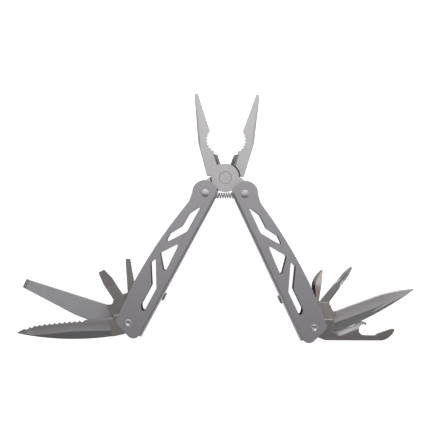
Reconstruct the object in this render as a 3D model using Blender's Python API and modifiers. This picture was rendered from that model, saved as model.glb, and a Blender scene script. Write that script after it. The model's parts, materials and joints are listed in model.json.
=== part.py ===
"""A butterfly-opening multi tool, lying flat in its open pose with every implement fanned out.

Lengths are millimetres, scaled to metres when an object is made. Angles are degrees.
The tool lies in the XY plane with its front side up, on the plane z = 0.

Two outlines are shared by both sides of the tool and mirrored for the other one:
a jaw is drawn closed, as (outward, along the jaw) from the pliers pivot;
a handle is drawn as (u, v), u along it from the fold rivet to the tool rivet and v towards its web.
An implement is drawn as (x, s), x along it from its rivet and s towards the open side of its handle.
"""

import math

import bmesh
import bpy
from mathutils import Matrix, Vector

MM = 0.001

# where the pliers pivot lies, and how far each closed jaw is turned open about it
PLIERS_PIVOT = (4.4, 23.7)
FRONT_JAW_LEAN = 17.8
REAR_JAW_LEAN = 20.2

# the stack through the handles, from the rest plane up
HEAD_HEIGHT = 0.5
SHEET = 1.2
CHANNEL_INSIDE = 9.8
CHANNEL_LOW = HEAD_HEIGHT
CHANNEL_HIGH = CHANNEL_LOW + 2 * SHEET + CHANNEL_INSIDE
INSIDE_LOW = CHANNEL_LOW + SHEET
INSIDE_HIGH = CHANNEL_HIGH - SHEET
MIDDLE = (CHANNEL_LOW + CHANNEL_HIGH) / 2
FIT = 0.05

# pliers
JAW_THICK = 5.4
JAW_LOW = MIDDLE - JAW_THICK / 2
JAW_HIGH = MIDDLE + JAW_THICK / 2
JAW_TIP_THICK = 3.4
TAPER_START = 26.0
FACE_GAP = 0.2
DISC_RADIUS = 8.4
LAP_CLEARANCE = 0.6
PIVOT_SHAFT = 2.6
PIVOT_HEAD = 3.6
PIVOT_HEAD_DEPTH = 1.0
GRIP_TEETH = 6
GRIP_TOOTH_DEPTH = 0.45
CUTTER_BEVEL = 2.3

# the lever behind each jaw, and the rivet at its end that the handle folds on
FOLD_REACH = 15.1
FOLD_OFFSET = 32.0
LEVER_END_RADIUS = 5.6
FOLD_SHAFT = 1.9
FOLD_HEAD = 2.4

# return spring between the two levers
SPRING_DROP = 10.6
SPRING_RADIUS = 1.55
SPRING_WIRE = 0.25
SPRING_TURNS = 7
SPRING_SEAT_GAP = 4.5
SEAT_RADIUS = 1.95
SEAT_DEPTH = 0.9

# handles
HANDLE_LENGTH = 89.5
LEFT_SPLAY = 10.5
RIGHT_SPLAY = 9.7
SPINE_AT_FOLD = 7.1
SPINE_LEAN = 2.43
BEND_RADIUS = 1.8
WEB_START = 1.6
WEB_END = 93.0

# implements
TOOL_THICK = 2.0
LAYER_GAP = (CHANNEL_INSIDE - 4 * TOOL_THICK) / 5
TANG_RADIUS = 6.6
LOCK_FLAT = 5.4
TOOL_SHAFT = 2.0
TOOL_HEAD = 2.2
SPACER_RADIUS = 4.5

# sliding locks on the webs
BUTTON_START = 63.4
BUTTON_LENGTH = 4.9
BUTTON_PROUD = 1.3
BUTTON_WIDTH = 5.0
STEM_WIDTH = 2.2
STEM_INSET = 1.2
LOCK_TRAVEL = 2.4
LOCK_BAR_WIDTH = 8.6

STEEL_BLASTED = ((0.24, 0.23, 0.245), 0.9, 0.55)
STEEL_SATIN = ((0.50, 0.49, 0.48), 1.0, 0.38)
STEEL_DARK = ((0.17, 0.16, 0.155), 1.0, 0.34)
STEEL_BLADE = ((0.20, 0.195, 0.19), 1.0, 0.28)
STEEL_BRIGHT = ((0.60, 0.59, 0.58), 1.0, 0.30)


# ---------------------------------------------------------------- outlines


def arc(centre, radius, start, end, steps):
    """Points on a circle from one angle to another, both ends included."""
    points = []
    for i in range(steps + 1):
        angle = math.radians(start + (end - start) * i / steps)
        points.append((centre[0] + radius * math.cos(angle), centre[1] + radius * math.sin(angle)))
    return points


def bow(start, end, rise, steps):
    """Points on a shallow curve from start to end that rises to its left by `rise` at the middle."""
    chord = Vector(end) - Vector(start)
    left = Vector((-chord.y, chord.x)).normalized()
    points = []
    for i in range(steps + 1):
        t = i / steps
        point = Vector(start) + chord * t + left * (4 * rise * t * (1 - t))
        points.append((point.x, point.y))
    return points


def rounded(corners):
    """An outline's points, each corner (x, y, radius) turned by an arc. A radius of 0 stays sharp."""
    points = []
    for i, (x, y, radius) in enumerate(corners):
        here = Vector((x, y))
        if radius == 0:
            points.append((x, y))
            continue
        before = (Vector(corners[i - 1][:2]) - here).normalized()
        after = (Vector(corners[(i + 1) % len(corners)][:2]) - here).normalized()
        half = before.angle(after) / 2
        centre = here + (before + after).normalized() * (radius / math.sin(half))
        first = here + before * (radius / math.tan(half)) - centre
        last = here + after * (radius / math.tan(half)) - centre
        start = math.degrees(math.atan2(first.y, first.x))
        turn = math.degrees(math.atan2(last.y, last.x)) - start
        turn = (turn + 180) % 360 - 180
        steps = max(1, math.ceil(abs(turn) / 30))
        points += arc(centre, radius, start, start + turn, steps)
    return points


def joined(*pieces):
    """One outline from several stretches of points, without repeated points."""
    points = []
    for piece in pieces:
        for point in piece:
            if not points or math.dist(point, points[-1]) > 0.01:
                points.append(point)
    if math.dist(points[0], points[-1]) <= 0.01:
        points.pop()
    return points


def mirrored(points, side):
    return [(x, side * y) for x, y in points]


# ---------------------------------------------------------------- modelling


def start_scene():
    for obj in list(bpy.data.objects):
        bpy.data.objects.remove(obj, do_unlink=True)
    parts = bpy.data.collections.new("multi_tool")
    cutters = bpy.data.collections.new("cutters")
    bpy.context.scene.collection.children.link(parts)
    bpy.context.scene.collection.children.link(cutters)
    return parts, cutters


PARTS, CUTTERS = start_scene()


def mesh_object(name, mesh, looks=None):
    """A part where `looks` is given, and otherwise a hidden cutter."""
    obj = bpy.data.objects.new(name, mesh)
    if looks:
        colour, metallic, roughness = looks
        material = bpy.data.materials.new(name)
        material.use_nodes = True
        shader = material.node_tree.nodes["Principled BSDF"]
        shader.inputs["Base Color"].default_value = (*colour, 1)
        shader.inputs["Metallic"].default_value = metallic
        shader.inputs["Roughness"].default_value = roughness
        mesh.materials.clear()
        mesh.materials.append(material)
        PARTS.objects.link(obj)
    else:
        obj.hide_render = True
        obj.display_type = "WIRE"
        CUTTERS.objects.link(obj)
    return obj


def clean(mesh):
    """Weld a new mesh's seams and turn its faces outwards."""
    bm = bmesh.new()
    bm.from_mesh(mesh)
    bmesh.ops.remove_doubles(bm, verts=bm.verts, dist=1e-7)
    bmesh.ops.recalc_face_normals(bm, faces=bm.faces)
    bm.to_mesh(mesh)
    bm.free()
    return mesh


def plate(name, outlines, low, high, looks=None):
    """A flat piece between two heights, from an outer outline and any holes in it."""
    curve = bpy.data.curves.new(name, "CURVE")
    curve.dimensions = "2D"
    curve.fill_mode = "BOTH"
    curve.extrude = (high - low) / 2 * MM
    for outline in outlines:
        spline = curve.splines.new("POLY")
        spline.points.add(len(outline) - 1)
        for point, (x, y) in zip(spline.points, outline):
            point.co = (x * MM, y * MM, 0, 1)
        spline.use_cyclic_u = True
    drawn = bpy.data.objects.new(name + "_drawn", curve)
    CUTTERS.objects.link(drawn)
    bpy.context.view_layer.update()
    evaluated = drawn.evaluated_get(bpy.context.evaluated_depsgraph_get())
    mesh = bpy.data.meshes.new_from_object(evaluated)
    bpy.data.objects.remove(drawn)
    mesh.transform(Matrix.Translation((0, 0, (low + high) / 2 * MM)))
    return mesh_object(name, clean(mesh), looks)


def turned(name, profile, looks=None, steps=28):
    """A round piece about Z, from a profile of (radius, height) that runs down its outer side."""
    mesh = bpy.data.meshes.new(name)
    bm = bmesh.new()
    rim = [bm.verts.new((radius * MM, 0, height * MM)) for radius, height in profile]
    for upper, lower in zip(rim, rim[1:]):
        bm.edges.new((upper, lower))
    bm.to_mesh(mesh)
    bm.free()
    obj = mesh_object(name, mesh, looks)
    screw = obj.modifiers.new("turn", "SCREW")
    screw.steps = steps
    screw.render_steps = steps
    screw.use_merge_vertices = True
    screw.merge_threshold = 1e-7
    screw.use_smooth_shade = True
    return obj


def ring(name, outer, inner, low, high, looks=None, steps=20):
    """A washer, or a plain disc where `inner` is 0."""
    holes = [arc((0, 0), inner, 0, 360 - 360 / steps, steps - 1)] if inner else []
    return plate(name, [arc((0, 0), outer, 0, 360 - 360 / steps, steps - 1)] + holes, low, high, looks)


def skin(name, sections, looks=None):
    """A solid through a row of sections, each a loop of the same number of (x, y, z) points."""
    count = len(sections[0])
    bm = bmesh.new()
    grid = bmesh.ops.create_grid(bm, x_segments=len(sections) - 1, y_segments=count, size=1)
    order = sorted(grid["verts"], key=lambda v: (round(v.co.x, 4), round(v.co.y, 4)))
    for index, vertex in enumerate(order):
        section, place = divmod(index, count + 1)
        vertex.co = Vector(sections[section][place % count]) * MM
    bmesh.ops.remove_doubles(bm, verts=bm.verts, dist=1e-7)
    bmesh.ops.holes_fill(bm, edges=bm.edges, sides=0)
    bmesh.ops.recalc_face_normals(bm, faces=bm.faces)
    mesh = bpy.data.meshes.new(name)
    bm.to_mesh(mesh)
    bm.free()
    return mesh_object(name, mesh, looks)


def combine(obj, other, operation):
    modifier = obj.modifiers.new(other.name, "BOOLEAN")
    modifier.operation = operation
    modifier.solver = "EXACT"
    modifier.object = other
    other.hide_render = True
    other.display_type = "WIRE"
    if other.parent is None:
        other.parent = obj


def place(obj, parent, location=(0, 0, 0), turn=0):
    obj.parent = parent
    obj.location = Vector(location) * MM
    obj.rotation_euler = (0, 0, math.radians(turn))


def empty(name, parent, location, turn):
    marker = bpy.data.objects.new(name, None)
    PARTS.objects.link(marker)
    place(marker, parent, location, turn)
    return marker


# ---------------------------------------------------------------- pliers


def fold_point():
    """The fold rivet in the closed jaw's outline, on the side its lever crosses to."""
    angle = math.radians(FOLD_OFFSET)
    return (-FOLD_REACH * math.sin(angle), -FOLD_REACH * math.cos(angle))


def grip_edge():
    """The toothed hollow of the pipe grip, from the lip down to the cutter."""
    hollow = bow((1.2, 29.0), (2.1, 17.4), 2.4, GRIP_TEETH * 4)
    points = []
    for i, (outward, along) in enumerate(hollow):
        tooth = GRIP_TOOTH_DEPTH * math.cos(math.radians(90 * i))
        points.append((outward - tooth, along))
    return points


def jaw_outline():
    """One jaw with its disc and lever, closed, running clockwise as (outward, along)."""
    cutter = rounded([(FACE_GAP, 8.6, 0), (FACE_GAP, 14.9, 0.15), (2.1, 15.5, 0), (2.1, 17.0, 0)])
    nose = [(FACE_GAP, 29.9, 0.25), (FACE_GAP, 53.3, 0.4), (2.2, 53.4, 0.7), (9.1, 25.0, 6), (9.9, 11, 0)]
    nose = rounded(nose)
    base = rounded([(9.9, 11.0, 0), (10.1, 4.4, 0.5), (8.2, 3.75, 0)])
    lever_end = arc(fold_point(), LEVER_END_RADIUS, -42, -195, 10)
    tab = rounded([lever_end[-1] + (0,), (-10.2, -4.8, 0.6), (-9.2, -3.3, 0.3), (-8.1, -2.2, 0)])
    return joined(
        cutter[:-1],
        list(reversed(grip_edge())),
        nose[:-1],
        base,
        arc((0, 0), DISC_RADIUS, 23, -98, 11),
        [(-1.3, -9.0), (-0.35, -12.9)],
        lever_end,
        tab[1:],
        arc((0, 0), DISC_RADIUS, 195, 92, 9),
    )


def beam(name, section, start, end):
    """A straight bar along X, with a section drawn as (y, z)."""
    bar = plate(name, [section], start, end)
    bar.data.transform(Matrix(((0, 0, 1, 0), (1, 0, 0, 0), (0, 1, 0, 0), (0, 0, 0, 1))))
    return bar


def jaw(name, side, lean):
    """A jaw, its half of the lap joint and its lever. side is -1 for the front jaw, which leans left."""
    front = side == -1
    outline = [(side * outward, along) for outward, along in jaw_outline()]
    body = plate(name, [outline], JAW_LOW, JAW_HIGH, STEEL_SATIN)
    place(body, None, (*PLIERS_PIVOT, 0), lean)

    lap_low, lap_high = (JAW_LOW - 1, MIDDLE + FIT) if front else (MIDDLE - FIT, JAW_HIGH + 1)
    lap = ring(name + "_lap", DISC_RADIUS + LAP_CLEARANCE, 0, lap_low, lap_high, steps=36)
    combine(body, lap, "DIFFERENCE")
    head, shaft = PIVOT_HEAD + FIT, PIVOT_SHAFT + FIT
    if front:
        step = JAW_HIGH - PIVOT_HEAD_DEPTH
        profile = [(0, JAW_HIGH + 1), (head, JAW_HIGH + 1), (head, step)]
        profile += [(shaft, step), (shaft, JAW_LOW), (0, JAW_LOW)]
    else:
        step = JAW_LOW + PIVOT_HEAD_DEPTH
        profile = [(0, JAW_HIGH), (shaft, JAW_HIGH), (shaft, step)]
        profile += [(head, step), (head, JAW_LOW - 1), (0, JAW_LOW - 1)]
    combine(body, turned(name + "_pivot_hole", profile), "DIFFERENCE")
    fold = fold_point()
    fold_hole = ring(name + "_fold_hole", FOLD_SHAFT + FIT, 0, JAW_LOW - 1, JAW_HIGH + 1)
    combine(body, fold_hole, "DIFFERENCE")
    fold_hole.location = Vector((side * fold[0], fold[1], 0)) * MM

    for sign in (1, -1):
        top = MIDDLE + sign * JAW_THICK / 2
        tip = MIDDLE + sign * JAW_TIP_THICK / 2
        clear = top + sign * 2
        slope = [(TAPER_START, top), (55, tip), (55, clear), (TAPER_START, clear)]
        combine(body, beam(f"{name}_taper_{sign}", slope, -14, 14), "DIFFERENCE")
        edge = MIDDLE + sign * 0.15
        bevel = [(0.5, edge), (-FACE_GAP, edge), (-FACE_GAP - CUTTER_BEVEL, top)]
        bevel += [(-FACE_GAP - CUTTER_BEVEL, clear), (0.5, clear)]
        bevel = [(side * across, height) for across, height in bevel]
        wedge = beam(f"{name}_bevel_{sign}", bevel, 8.75, 15.55)
        combine(body, wedge, "DIFFERENCE")
        wedge.rotation_euler = (0, 0, math.radians(90))

    seat = ring(name + "_spring_seat", SEAT_RADIUS, 0, -SEAT_DEPTH - 0.2, 2)
    seat.data.transform(Matrix.Rotation(math.radians(90 * side), 4, "Y"))
    combine(body, seat, "DIFFERENCE")
    turn = Matrix.Rotation(math.radians(-lean), 4, "Z")
    seat.location = turn @ Vector((-side * SPRING_SEAT_GAP, -SPRING_DROP, MIDDLE)) * MM
    seat.rotation_euler = (0, 0, math.radians(-lean))
    return body


def coil(name, radius, wire, length, turns, looks):
    """A round-wire coil along X, centred on its origin."""
    curve = bpy.data.curves.new(name, "CURVE")
    curve.dimensions = "3D"
    curve.bevel_depth = wire * MM
    curve.bevel_resolution = 2
    curve.use_fill_caps = True
    spline = curve.splines.new("POLY")
    steps = turns * 12
    spline.points.add(steps)
    for i, point in enumerate(spline.points):
        angle = math.tau * turns * i / steps
        along = length * (i / steps - 0.5)
        point.co = (along * MM, radius * math.cos(angle) * MM, radius * math.sin(angle) * MM, 1)
    drawn = bpy.data.objects.new(name + "_drawn", curve)
    CUTTERS.objects.link(drawn)
    bpy.context.view_layer.update()
    mesh = bpy.data.meshes.new_from_object(drawn.evaluated_get(bpy.context.evaluated_depsgraph_get()))
    bpy.data.objects.remove(drawn)
    return mesh_object(name, clean(mesh), looks)


def pliers():
    front = jaw("jaw_front", -1, FRONT_JAW_LEAN)
    rear = jaw("jaw_rear", 1, -REAR_JAW_LEAN)
    head_low = JAW_LOW + PIVOT_HEAD_DEPTH - FIT
    head_high = JAW_HIGH - PIVOT_HEAD_DEPTH + FIT
    profile = [(0, JAW_HIGH), (PIVOT_HEAD, JAW_HIGH), (PIVOT_HEAD, head_high), (PIVOT_SHAFT, head_high)]
    profile += [(PIVOT_SHAFT, head_low), (PIVOT_HEAD, head_low), (PIVOT_HEAD, JAW_LOW), (0, JAW_LOW)]
    rivet = turned("jaw_pivot_rivet", profile, STEEL_BRIGHT)
    place(rivet, front, turn=-FRONT_JAW_LEAN)

    length = 2 * (SPRING_SEAT_GAP + SEAT_DEPTH - 0.3)
    spring = coil("return_spring", SPRING_RADIUS, SPRING_WIRE, length, SPRING_TURNS, STEEL_BRIGHT)
    turn = Matrix.Rotation(math.radians(-FRONT_JAW_LEAN), 4, "Z")
    place(spring, front, turn @ Vector((0, -SPRING_DROP, MIDDLE)), -FRONT_JAW_LEAN)
    return front, rear


# ---------------------------------------------------------------- handles


def spine(u):
    """How far the web's outer face lies from the line through both rivets."""
    return SPINE_AT_FOLD + u * math.tan(math.radians(SPINE_LEAN))


def handle_outline():
    crown = arc((-0.1, -0.6), 7.5, 86, 300, 14)
    neck = rounded([crown[-1] + (0,), (8.8, -5.9, 4), (13.4, -6.45, 0)])
    back = bow((13.4, -6.45), (66.0, -9.5), -1.2, 8)
    foot = [(66.0, -9.5, 0), (93.3, -7.0, 3.5), (98.0, 9.4, 4.2), (WEB_END, 9.4, 0)]
    foot = rounded(foot + [(WEB_END, spine(WEB_END), 0), (WEB_START, spine(WEB_START), 0)])
    return joined(crown, neck[1:], back, foot)


def windows():
    return [
        rounded([(9.2, 1.0, 0.5), (15.2, -1.9, 1.5), (24.2, -1.8, 1.5), (31.4, -5.7, 1.5), (37.6, -5.5, 0.6),
                 (25.0, 2.35, 1.5), (9.2, 1.8, 0.3)]),
        rounded([(33.6, 1.9, 0.6), (44.4, -4.9, 1.2), (54.0, 3.55, 1.0)]),
        rounded([(48.3, -5.6, 0.5), (52.4, -6.8, 0.8), (63.6, 0.6, 1.5), (76.8, 1.1, 2.0), (81.0, 4.65, 1.0),
                 (63.5, 3.95, 1.5)]),
    ]


def channel_section(inset, start):
    """Half of a rounded box, as (v, height) from the web's face: the sheet's outside or its inside."""
    low = CHANNEL_LOW + inset
    high = CHANNEL_HIGH - inset
    corner = BEND_RADIUS - inset
    return rounded([(start, low, 0), (-inset, low, corner), (-inset, high, corner), (start, high, 0)])


def channel(name, side, pivot):
    """The folded sheet of one handle: two pierced plates and the web that joins them."""
    outlines = [mirrored(outline, side) for outline in [handle_outline()] + windows()]
    body = plate(name, outlines, CHANNEL_LOW, CHANNEL_HIGH, STEEL_BLASTED)
    place(body, pivot)

    outside = beam(name + "_outside", channel_section(0, -30), -20, 110)
    inside = beam(name + "_inside", channel_section(SHEET, -40), -25, 115)
    for bar, operation in ((outside, "INTERSECT"), (inside, "DIFFERENCE")):
        bar.data.transform(Matrix.Scale(side, 4, (0, 1, 0)))
        if side < 0:
            bar.data.flip_normals()
        combine(body, bar, operation)
        bar.location = (0, side * SPINE_AT_FOLD * MM, 0)
        bar.rotation_euler = (0, 0, side * math.radians(SPINE_LEAN))

    top = [(-12, 3.0), (WEB_START, 3.0), (WEB_START, 12), (-12, 12)]
    slot_start = BUTTON_START + STEM_INSET - LOCK_TRAVEL - 0.2
    slot_end = BUTTON_START + BUTTON_LENGTH - STEM_INSET + 0.2
    slot = [(slot_start, 7), (slot_end, 7), (slot_end, 13), (slot_start, 13)]
    for label, outline, low, high in (
        ("top", top, INSIDE_LOW, INSIDE_HIGH),
        ("slot", slot, MIDDLE - STEM_WIDTH / 2 - 0.2, MIDDLE + STEM_WIDTH / 2 + 0.2),
    ):
        combine(body, plate(f"{name}_{label}", [mirrored(outline, side)], low, high), "DIFFERENCE")
    for label, u, radius in (("fold", 0, FOLD_SHAFT), ("tool", HANDLE_LENGTH, TOOL_SHAFT)):
        hole = ring(f"{name}_{label}_hole", radius + FIT, 0, -1, CHANNEL_HIGH + 1)
        combine(body, hole, "DIFFERENCE")
        hole.location = (u * MM, 0, 0)
    return body


def rivet(name, shaft, head, dish, looks):
    """A rivet through a handle: domed in front, with a dish in its middle, and flat on the rest plane."""
    high = CHANNEL_HIGH + 0.03
    low = CHANNEL_LOW - 0.03
    top = CHANNEL_HIGH + HEAD_HEIGHT
    profile = [(0, top - dish), (head * 0.6, top - dish / 4), (head, high + 0.15), (head, high)]
    profile += [(shaft, high), (shaft, low), (head, low), (head, 0.15), (head - 0.15, 0), (0, 0)]
    return turned(name, profile, looks, steps=20)


def lock(name, side, pivot):
    """The sliding lock: a ribbed button outside the web, the bar inside it and the bar's leaf spring."""
    frame = empty(f"{name}_lock_slide", pivot, (0, side * SPINE_AT_FOLD, 0), side * SPINE_LEAN)
    start, end = BUTTON_START, BUTTON_START + BUTTON_LENGTH
    ribs = 5
    crest = [(start, 0.12), (start, 0.7), (start + 0.5, BUTTON_PROUD)]
    pitch = (BUTTON_LENGTH - 1.0) / ribs
    for i in range(ribs):
        left = start + 0.5 + pitch * i
        crest += [(left + 0.45 * pitch, BUTTON_PROUD), (left + 0.55 * pitch, BUTTON_PROUD - 0.3)]
        crest += [(left + 0.9 * pitch, BUTTON_PROUD - 0.3), (left + pitch, BUTTON_PROUD)]
    crest += [(end, 0.7), (end, 0.12)]
    half = BUTTON_WIDTH / 2
    outline = [mirrored(joined(crest), side)]
    button = plate(name + "_lock_button", outline, MIDDLE - half, MIDDLE + half, STEEL_DARK)
    first, last = start + STEM_INSET, end - STEM_INSET
    stem_ends = [(first, 0.3), (first, -2.6), (last, -2.6), (last, 0.3)]
    half = STEM_WIDTH / 2
    stem = plate(name + "_stem", [mirrored(stem_ends, side)], MIDDLE - half, MIDDLE + half)
    combine(button, stem, "UNION")
    place(button, frame)

    back = -SHEET - 0.12
    nose = HANDLE_LENGTH - 4.2
    inner = LOCK_FLAT + 0.12 - spine(nose)
    shape = [(56.0, back), (nose, back), (nose, inner), (nose - 2.2, inner), (nose - 2.2, back - 1.1)]
    shape += [(56.0, back - 1.1)]
    half = LOCK_BAR_WIDTH / 2
    bar = plate(name + "_lock_bar", [mirrored(shape, side)], MIDDLE - half, MIDDLE + half, STEEL_DARK)
    hole_ends = [(first - 0.1, 0), (first - 0.1, -4), (last + 0.1, -4), (last + 0.1, 0)]
    half = STEM_WIDTH / 2 + 0.08
    hole = plate(name + "_bar_hole", [mirrored(hole_ends, side)], MIDDLE - half, MIDDLE + half)
    combine(bar, hole, "DIFFERENCE")
    place(bar, frame)

    leaf = [(44.0, back), (49.5, back), (55.7, back - 0.9)]
    leaf += [(u, v - 0.3) for u, v in reversed(leaf)]
    spring = plate(name + "_lock_spring", [mirrored(leaf, side)], MIDDLE - 2, MIDDLE + 2, STEEL_BRIGHT)
    place(spring, frame)


# ---------------------------------------------------------------- implements


def layer_heights(layer):
    """The low and high faces of an implement, counted from the front layer back."""
    high = INSIDE_HIGH - LAYER_GAP - layer * (TOOL_THICK + LAYER_GAP)
    return high - TOOL_THICK, high


def tang_outline(web_side, open_side):
    """An implement's root: a round back with the lock's flat, then its open side and its web side."""
    flat = math.degrees(math.asin(LOCK_FLAT / TANG_RADIUS))
    back = arc((0, 0), TANG_RADIUS, 309, 180 - flat, 11)
    return joined(back, [(0.5, LOCK_FLAT)], open_side, web_side)


def blend(x, start, end, low, high):
    """A value that goes from low at start to high at end, and stays there."""
    t = min(1.0, max(0.0, (x - start) / (end - start)))
    return low + (high - low) * t


def hump(x, start, end, rise):
    """A parabola of this rise between start and end, and zero outside them."""
    t = min(1.0, max(0.0, (x - start) / (end - start)))
    return 4 * rise * t * (1 - t)


def ground_blade(name, stations, edge, ground, back, side, middle):
    """A blade through its stations, thinned from its ground line to its cutting edge."""
    half = TOOL_THICK / 2 - 0.04
    keen = 0.1
    sections = []
    for x in stations:
        edge_s, back_s = edge(x), back(x)
        ground_s = min(ground(x), back_s - 0.15)
        loop = [(edge_s, keen), (ground_s, half), (back_s, half)]
        loop += [(s, -z) for s, z in reversed(loop)]
        sections.append([(x, side * s, middle + z) for s, z in loop])
    return skin(name, sections)


def implement(name, side, layer, root, looks, blade=None):
    """An implement's root plate joined to its blade, with the rivet hole through it."""
    low, high = layer_heights(layer)
    body = plate(name, [mirrored(root, side)], low, high, looks)
    if blade:
        combine(body, blade, "UNION")
    combine(body, ring(name + "_hole", TOOL_SHAFT + FIT, 0, low - 1, high + 1), "DIFFERENCE")
    return body


def thin_tip(body, name, layer, start, end, tip_thick):
    """Both faces of a flat implement sloped down towards its tip."""
    low, high = layer_heights(layer)
    middle = (low + high) / 2
    for sign in (1, -1):
        face = middle + sign * TOOL_THICK / 2
        tip = middle + sign * tip_thick / 2
        clear = face + sign
        slope = [(-start, face), (-end, tip), (-end - 5, tip), (-end - 5, clear), (-start, clear)]
        wedge = beam(f"{name}_tip_{sign}", slope, -15, 15)
        combine(body, wedge, "DIFFERENCE")
        wedge.rotation_euler = (0, 0, math.radians(90))


def middle_of(layer):
    low, high = layer_heights(layer)
    return (low + high) / 2


def serrated_blade(side, layer):
    teeth, pitch, first, tip = 12, 3.0, 26.0, 67.0

    def edge(x):
        straight = blend(x, 11, 54, -3.1, -3.9) - hump(x, 26, 54, 0.25)
        scallop = 0.0
        if first < x < first + teeth * pitch:
            scallop = 0.6 * math.sin(math.pi * ((x - first) / pitch % 1))
        return straight + blend(x, 54, tip, 0, 3.85) - hump(x, 54, tip, 0.6) + scallop

    def ground(x):
        return blend(x, 10, 33, 4.2, 2.2) + blend(x, 33, 58, 0, -0.6)

    def back(x):
        return blend(x, 3.6, tip, 6.8, 0.02) + hump(x, 3.6, tip, 3.1)

    teeth_stations = [first + pitch * i / 4 for i in range(teeth * 4 + 1)]
    stations = [9.5, 14, 20] + teeth_stations + [63.5, 65, 66.2, tip]
    blade = ground_blade("serrated_ground", stations, edge, ground, back, side, middle_of(layer))
    root = tang_outline(
        [(11.2, -3.2), (9.2, -3.2), (8.4, -5.1), (6.1, -5.0)],
        [(3.6, 6.8), (9.0, 7.35), (10.6, 7.4)],
    )
    return implement("serrated_blade", side, layer, root, STEEL_BLADE, blade)


def knife_blade(side, layer):
    tip = 65.7

    def edge(x):
        return -4.0 + blend(x, 38, tip, 0, 4.05) - hump(x, 38, tip, 1.2)

    def ground(x):
        return max(2.7, edge(x) + 2.6)

    def back(x):
        return blend(x, 10, tip, 7.6, 0.1) + hump(x, 10, tip, 1.6)

    stations = [10, 16, 22, 28, 34, 40, 45, 50, 54, 58, 61, 63.5, 65, tip]
    blade = ground_blade("knife_ground", stations, edge, ground, back, side, middle_of(layer))
    root = tang_outline([(12.4, -4.1), (10.2, -4.4), (8.6, -5.0), (5.6, -5.0)], [(4.0, 6.9), (12.0, 7.7)])
    return implement("knife_blade", side, layer, root, STEEL_BLADE, blade)


def awl(side, layer):
    tip = 34.4

    def edge(x):
        return blend(x, 13, 24, -2.2, -5.0) + blend(x, 24, tip, 0, 5.0) - hump(x, 24, tip, 0.9)

    def ground(x):
        return edge(x) + 2.6

    def back(x):
        return blend(x, 10, tip, 0.5, 0.05)

    stations = [12, 15, 18, 21, 24, 26, 28, 30, 32, 33.5, tip]
    blade = ground_blade("awl_ground", stations, edge, ground, back, side, middle_of(layer))
    root = tang_outline(
        [(15.5, -2.6), (13.0, -3.0), (10.0, -4.8), (6.0, -5.0)],
        [(7.5, 6.9), (13.5, 7.0), (14.8, 6.2), (14.6, 2.0), (16.2, 0.36)],
    )
    return implement("awl", side, layer, root, STEEL_DARK, blade)


def phillips_driver(side, layer):
    """A flat-stock cross-point driver: its shank's corners sink into four flutes towards the tip."""
    middle = middle_of(layer)
    sections = []
    for x, half_width, fluted in (
        (12, 2.1, 0), (18, 2.2, 0), (25, 1.95, 0), (29, 1.85, 0.6),
        (33, 1.8, 1), (37.5, 1.6, 1), (40.5, 1.05, 1), (42.2, 0.5, 1),
    ):
        centre = -0.45 - 0.093 * (42.2 - x)
        half = TOOL_THICK / 2 - 0.04 if x < 38 else blend(x, 38, 42.2, 0.96, 0.4)
        corner = blend(fluted, 0, 1, 0.75, 0.4)
        depth = blend(fluted, 0, 1, 0.75, 0.4) * half
        inner = blend(fluted, 0, 1, half_width - 0.3, 0.42)
        loop = []
        for across, up in ((1, 1), (-1, 1), (-1, -1), (1, -1)):
            quarter = [(half_width, depth), (inner, corner * half), (inner * corner, half)]
            if across * up < 0:
                quarter.reverse()
            loop += [(across * a, up * b) for a, b in quarter]
        sections.append([(x, side * (centre + a), middle + b) for a, b in loop])
    blade = skin("phillips_shank", sections)
    root = tang_outline(
        [(14.5, -5.0), (10.0, -5.0), (6.0, -5.0)],
        [(8.0, 7.2), (13.8, 7.3), (15.6, 6.3), (14.3, 4.7), (15.0, 3.0),
         (16.2, 1.8), (16.4, 0.6), (18.0, -0.4), (16.3, -1.8)],
    )
    return implement("phillips_driver", side, layer, root, STEEL_DARK, blade)


def flat_driver(name, side, layer, root, tip_start, tip):
    body = implement(name, side, layer, root, STEEL_DARK)
    thin_tip(body, name, layer, tip_start, tip, 0.7)
    return body


def medium_driver(side, layer):
    shank = rounded([(12.6, 7.3, 0), (15.8, 7.4, 0.6), (14.2, 3.6, 1.2), (16.2, 1.7, 1.0), (27.0, 2.6, 6),
                     (34.7, 1.9, 0.3), (34.7, -1.9, 0.3), (28.0, -3.8, 4), (16.3, -4.7, 0)])
    root = tang_outline([(9.5, -5.0), (6.0, -5.0)], [(7.7, 7.0)] + shank)
    return flat_driver("medium_flat_driver", side, layer, root, 24, 34.7)


def small_driver(side, layer):
    shank = rounded([(12.6, 6.9, 0), (15.2, 6.9, 0.6), (16.8, 3.3, 1.2), (17.4, 0.6, 0.8), (37.7, 1.4, 0.2),
                     (37.7, -1.4, 0.2), (23.7, -3.4, 6), (15.0, -4.2, 0)])
    root = tang_outline([(9.5, -4.9), (6.0, -5.0)], [(7.7, 6.8)] + shank)
    return flat_driver("small_flat_driver", side, layer, root, 28, 37.7)


def file_blade(side, layer):
    shape = [(7.0, 6.6, 0), (18.0, 7.9, 6), (32.4, 7.6, 8), (67.8, 2.7, 0.5), (67.3, -2.8, 0.5), (16.5, -4.8, 0)]
    root = tang_outline([(9.5, -5.0), (6.0, -5.0)], rounded(shape))
    body = implement("file", side, layer, root, STEEL_DARK)
    thin_tip(body, "file", layer, 65.6, 67.8, 0.9)
    return body


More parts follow.
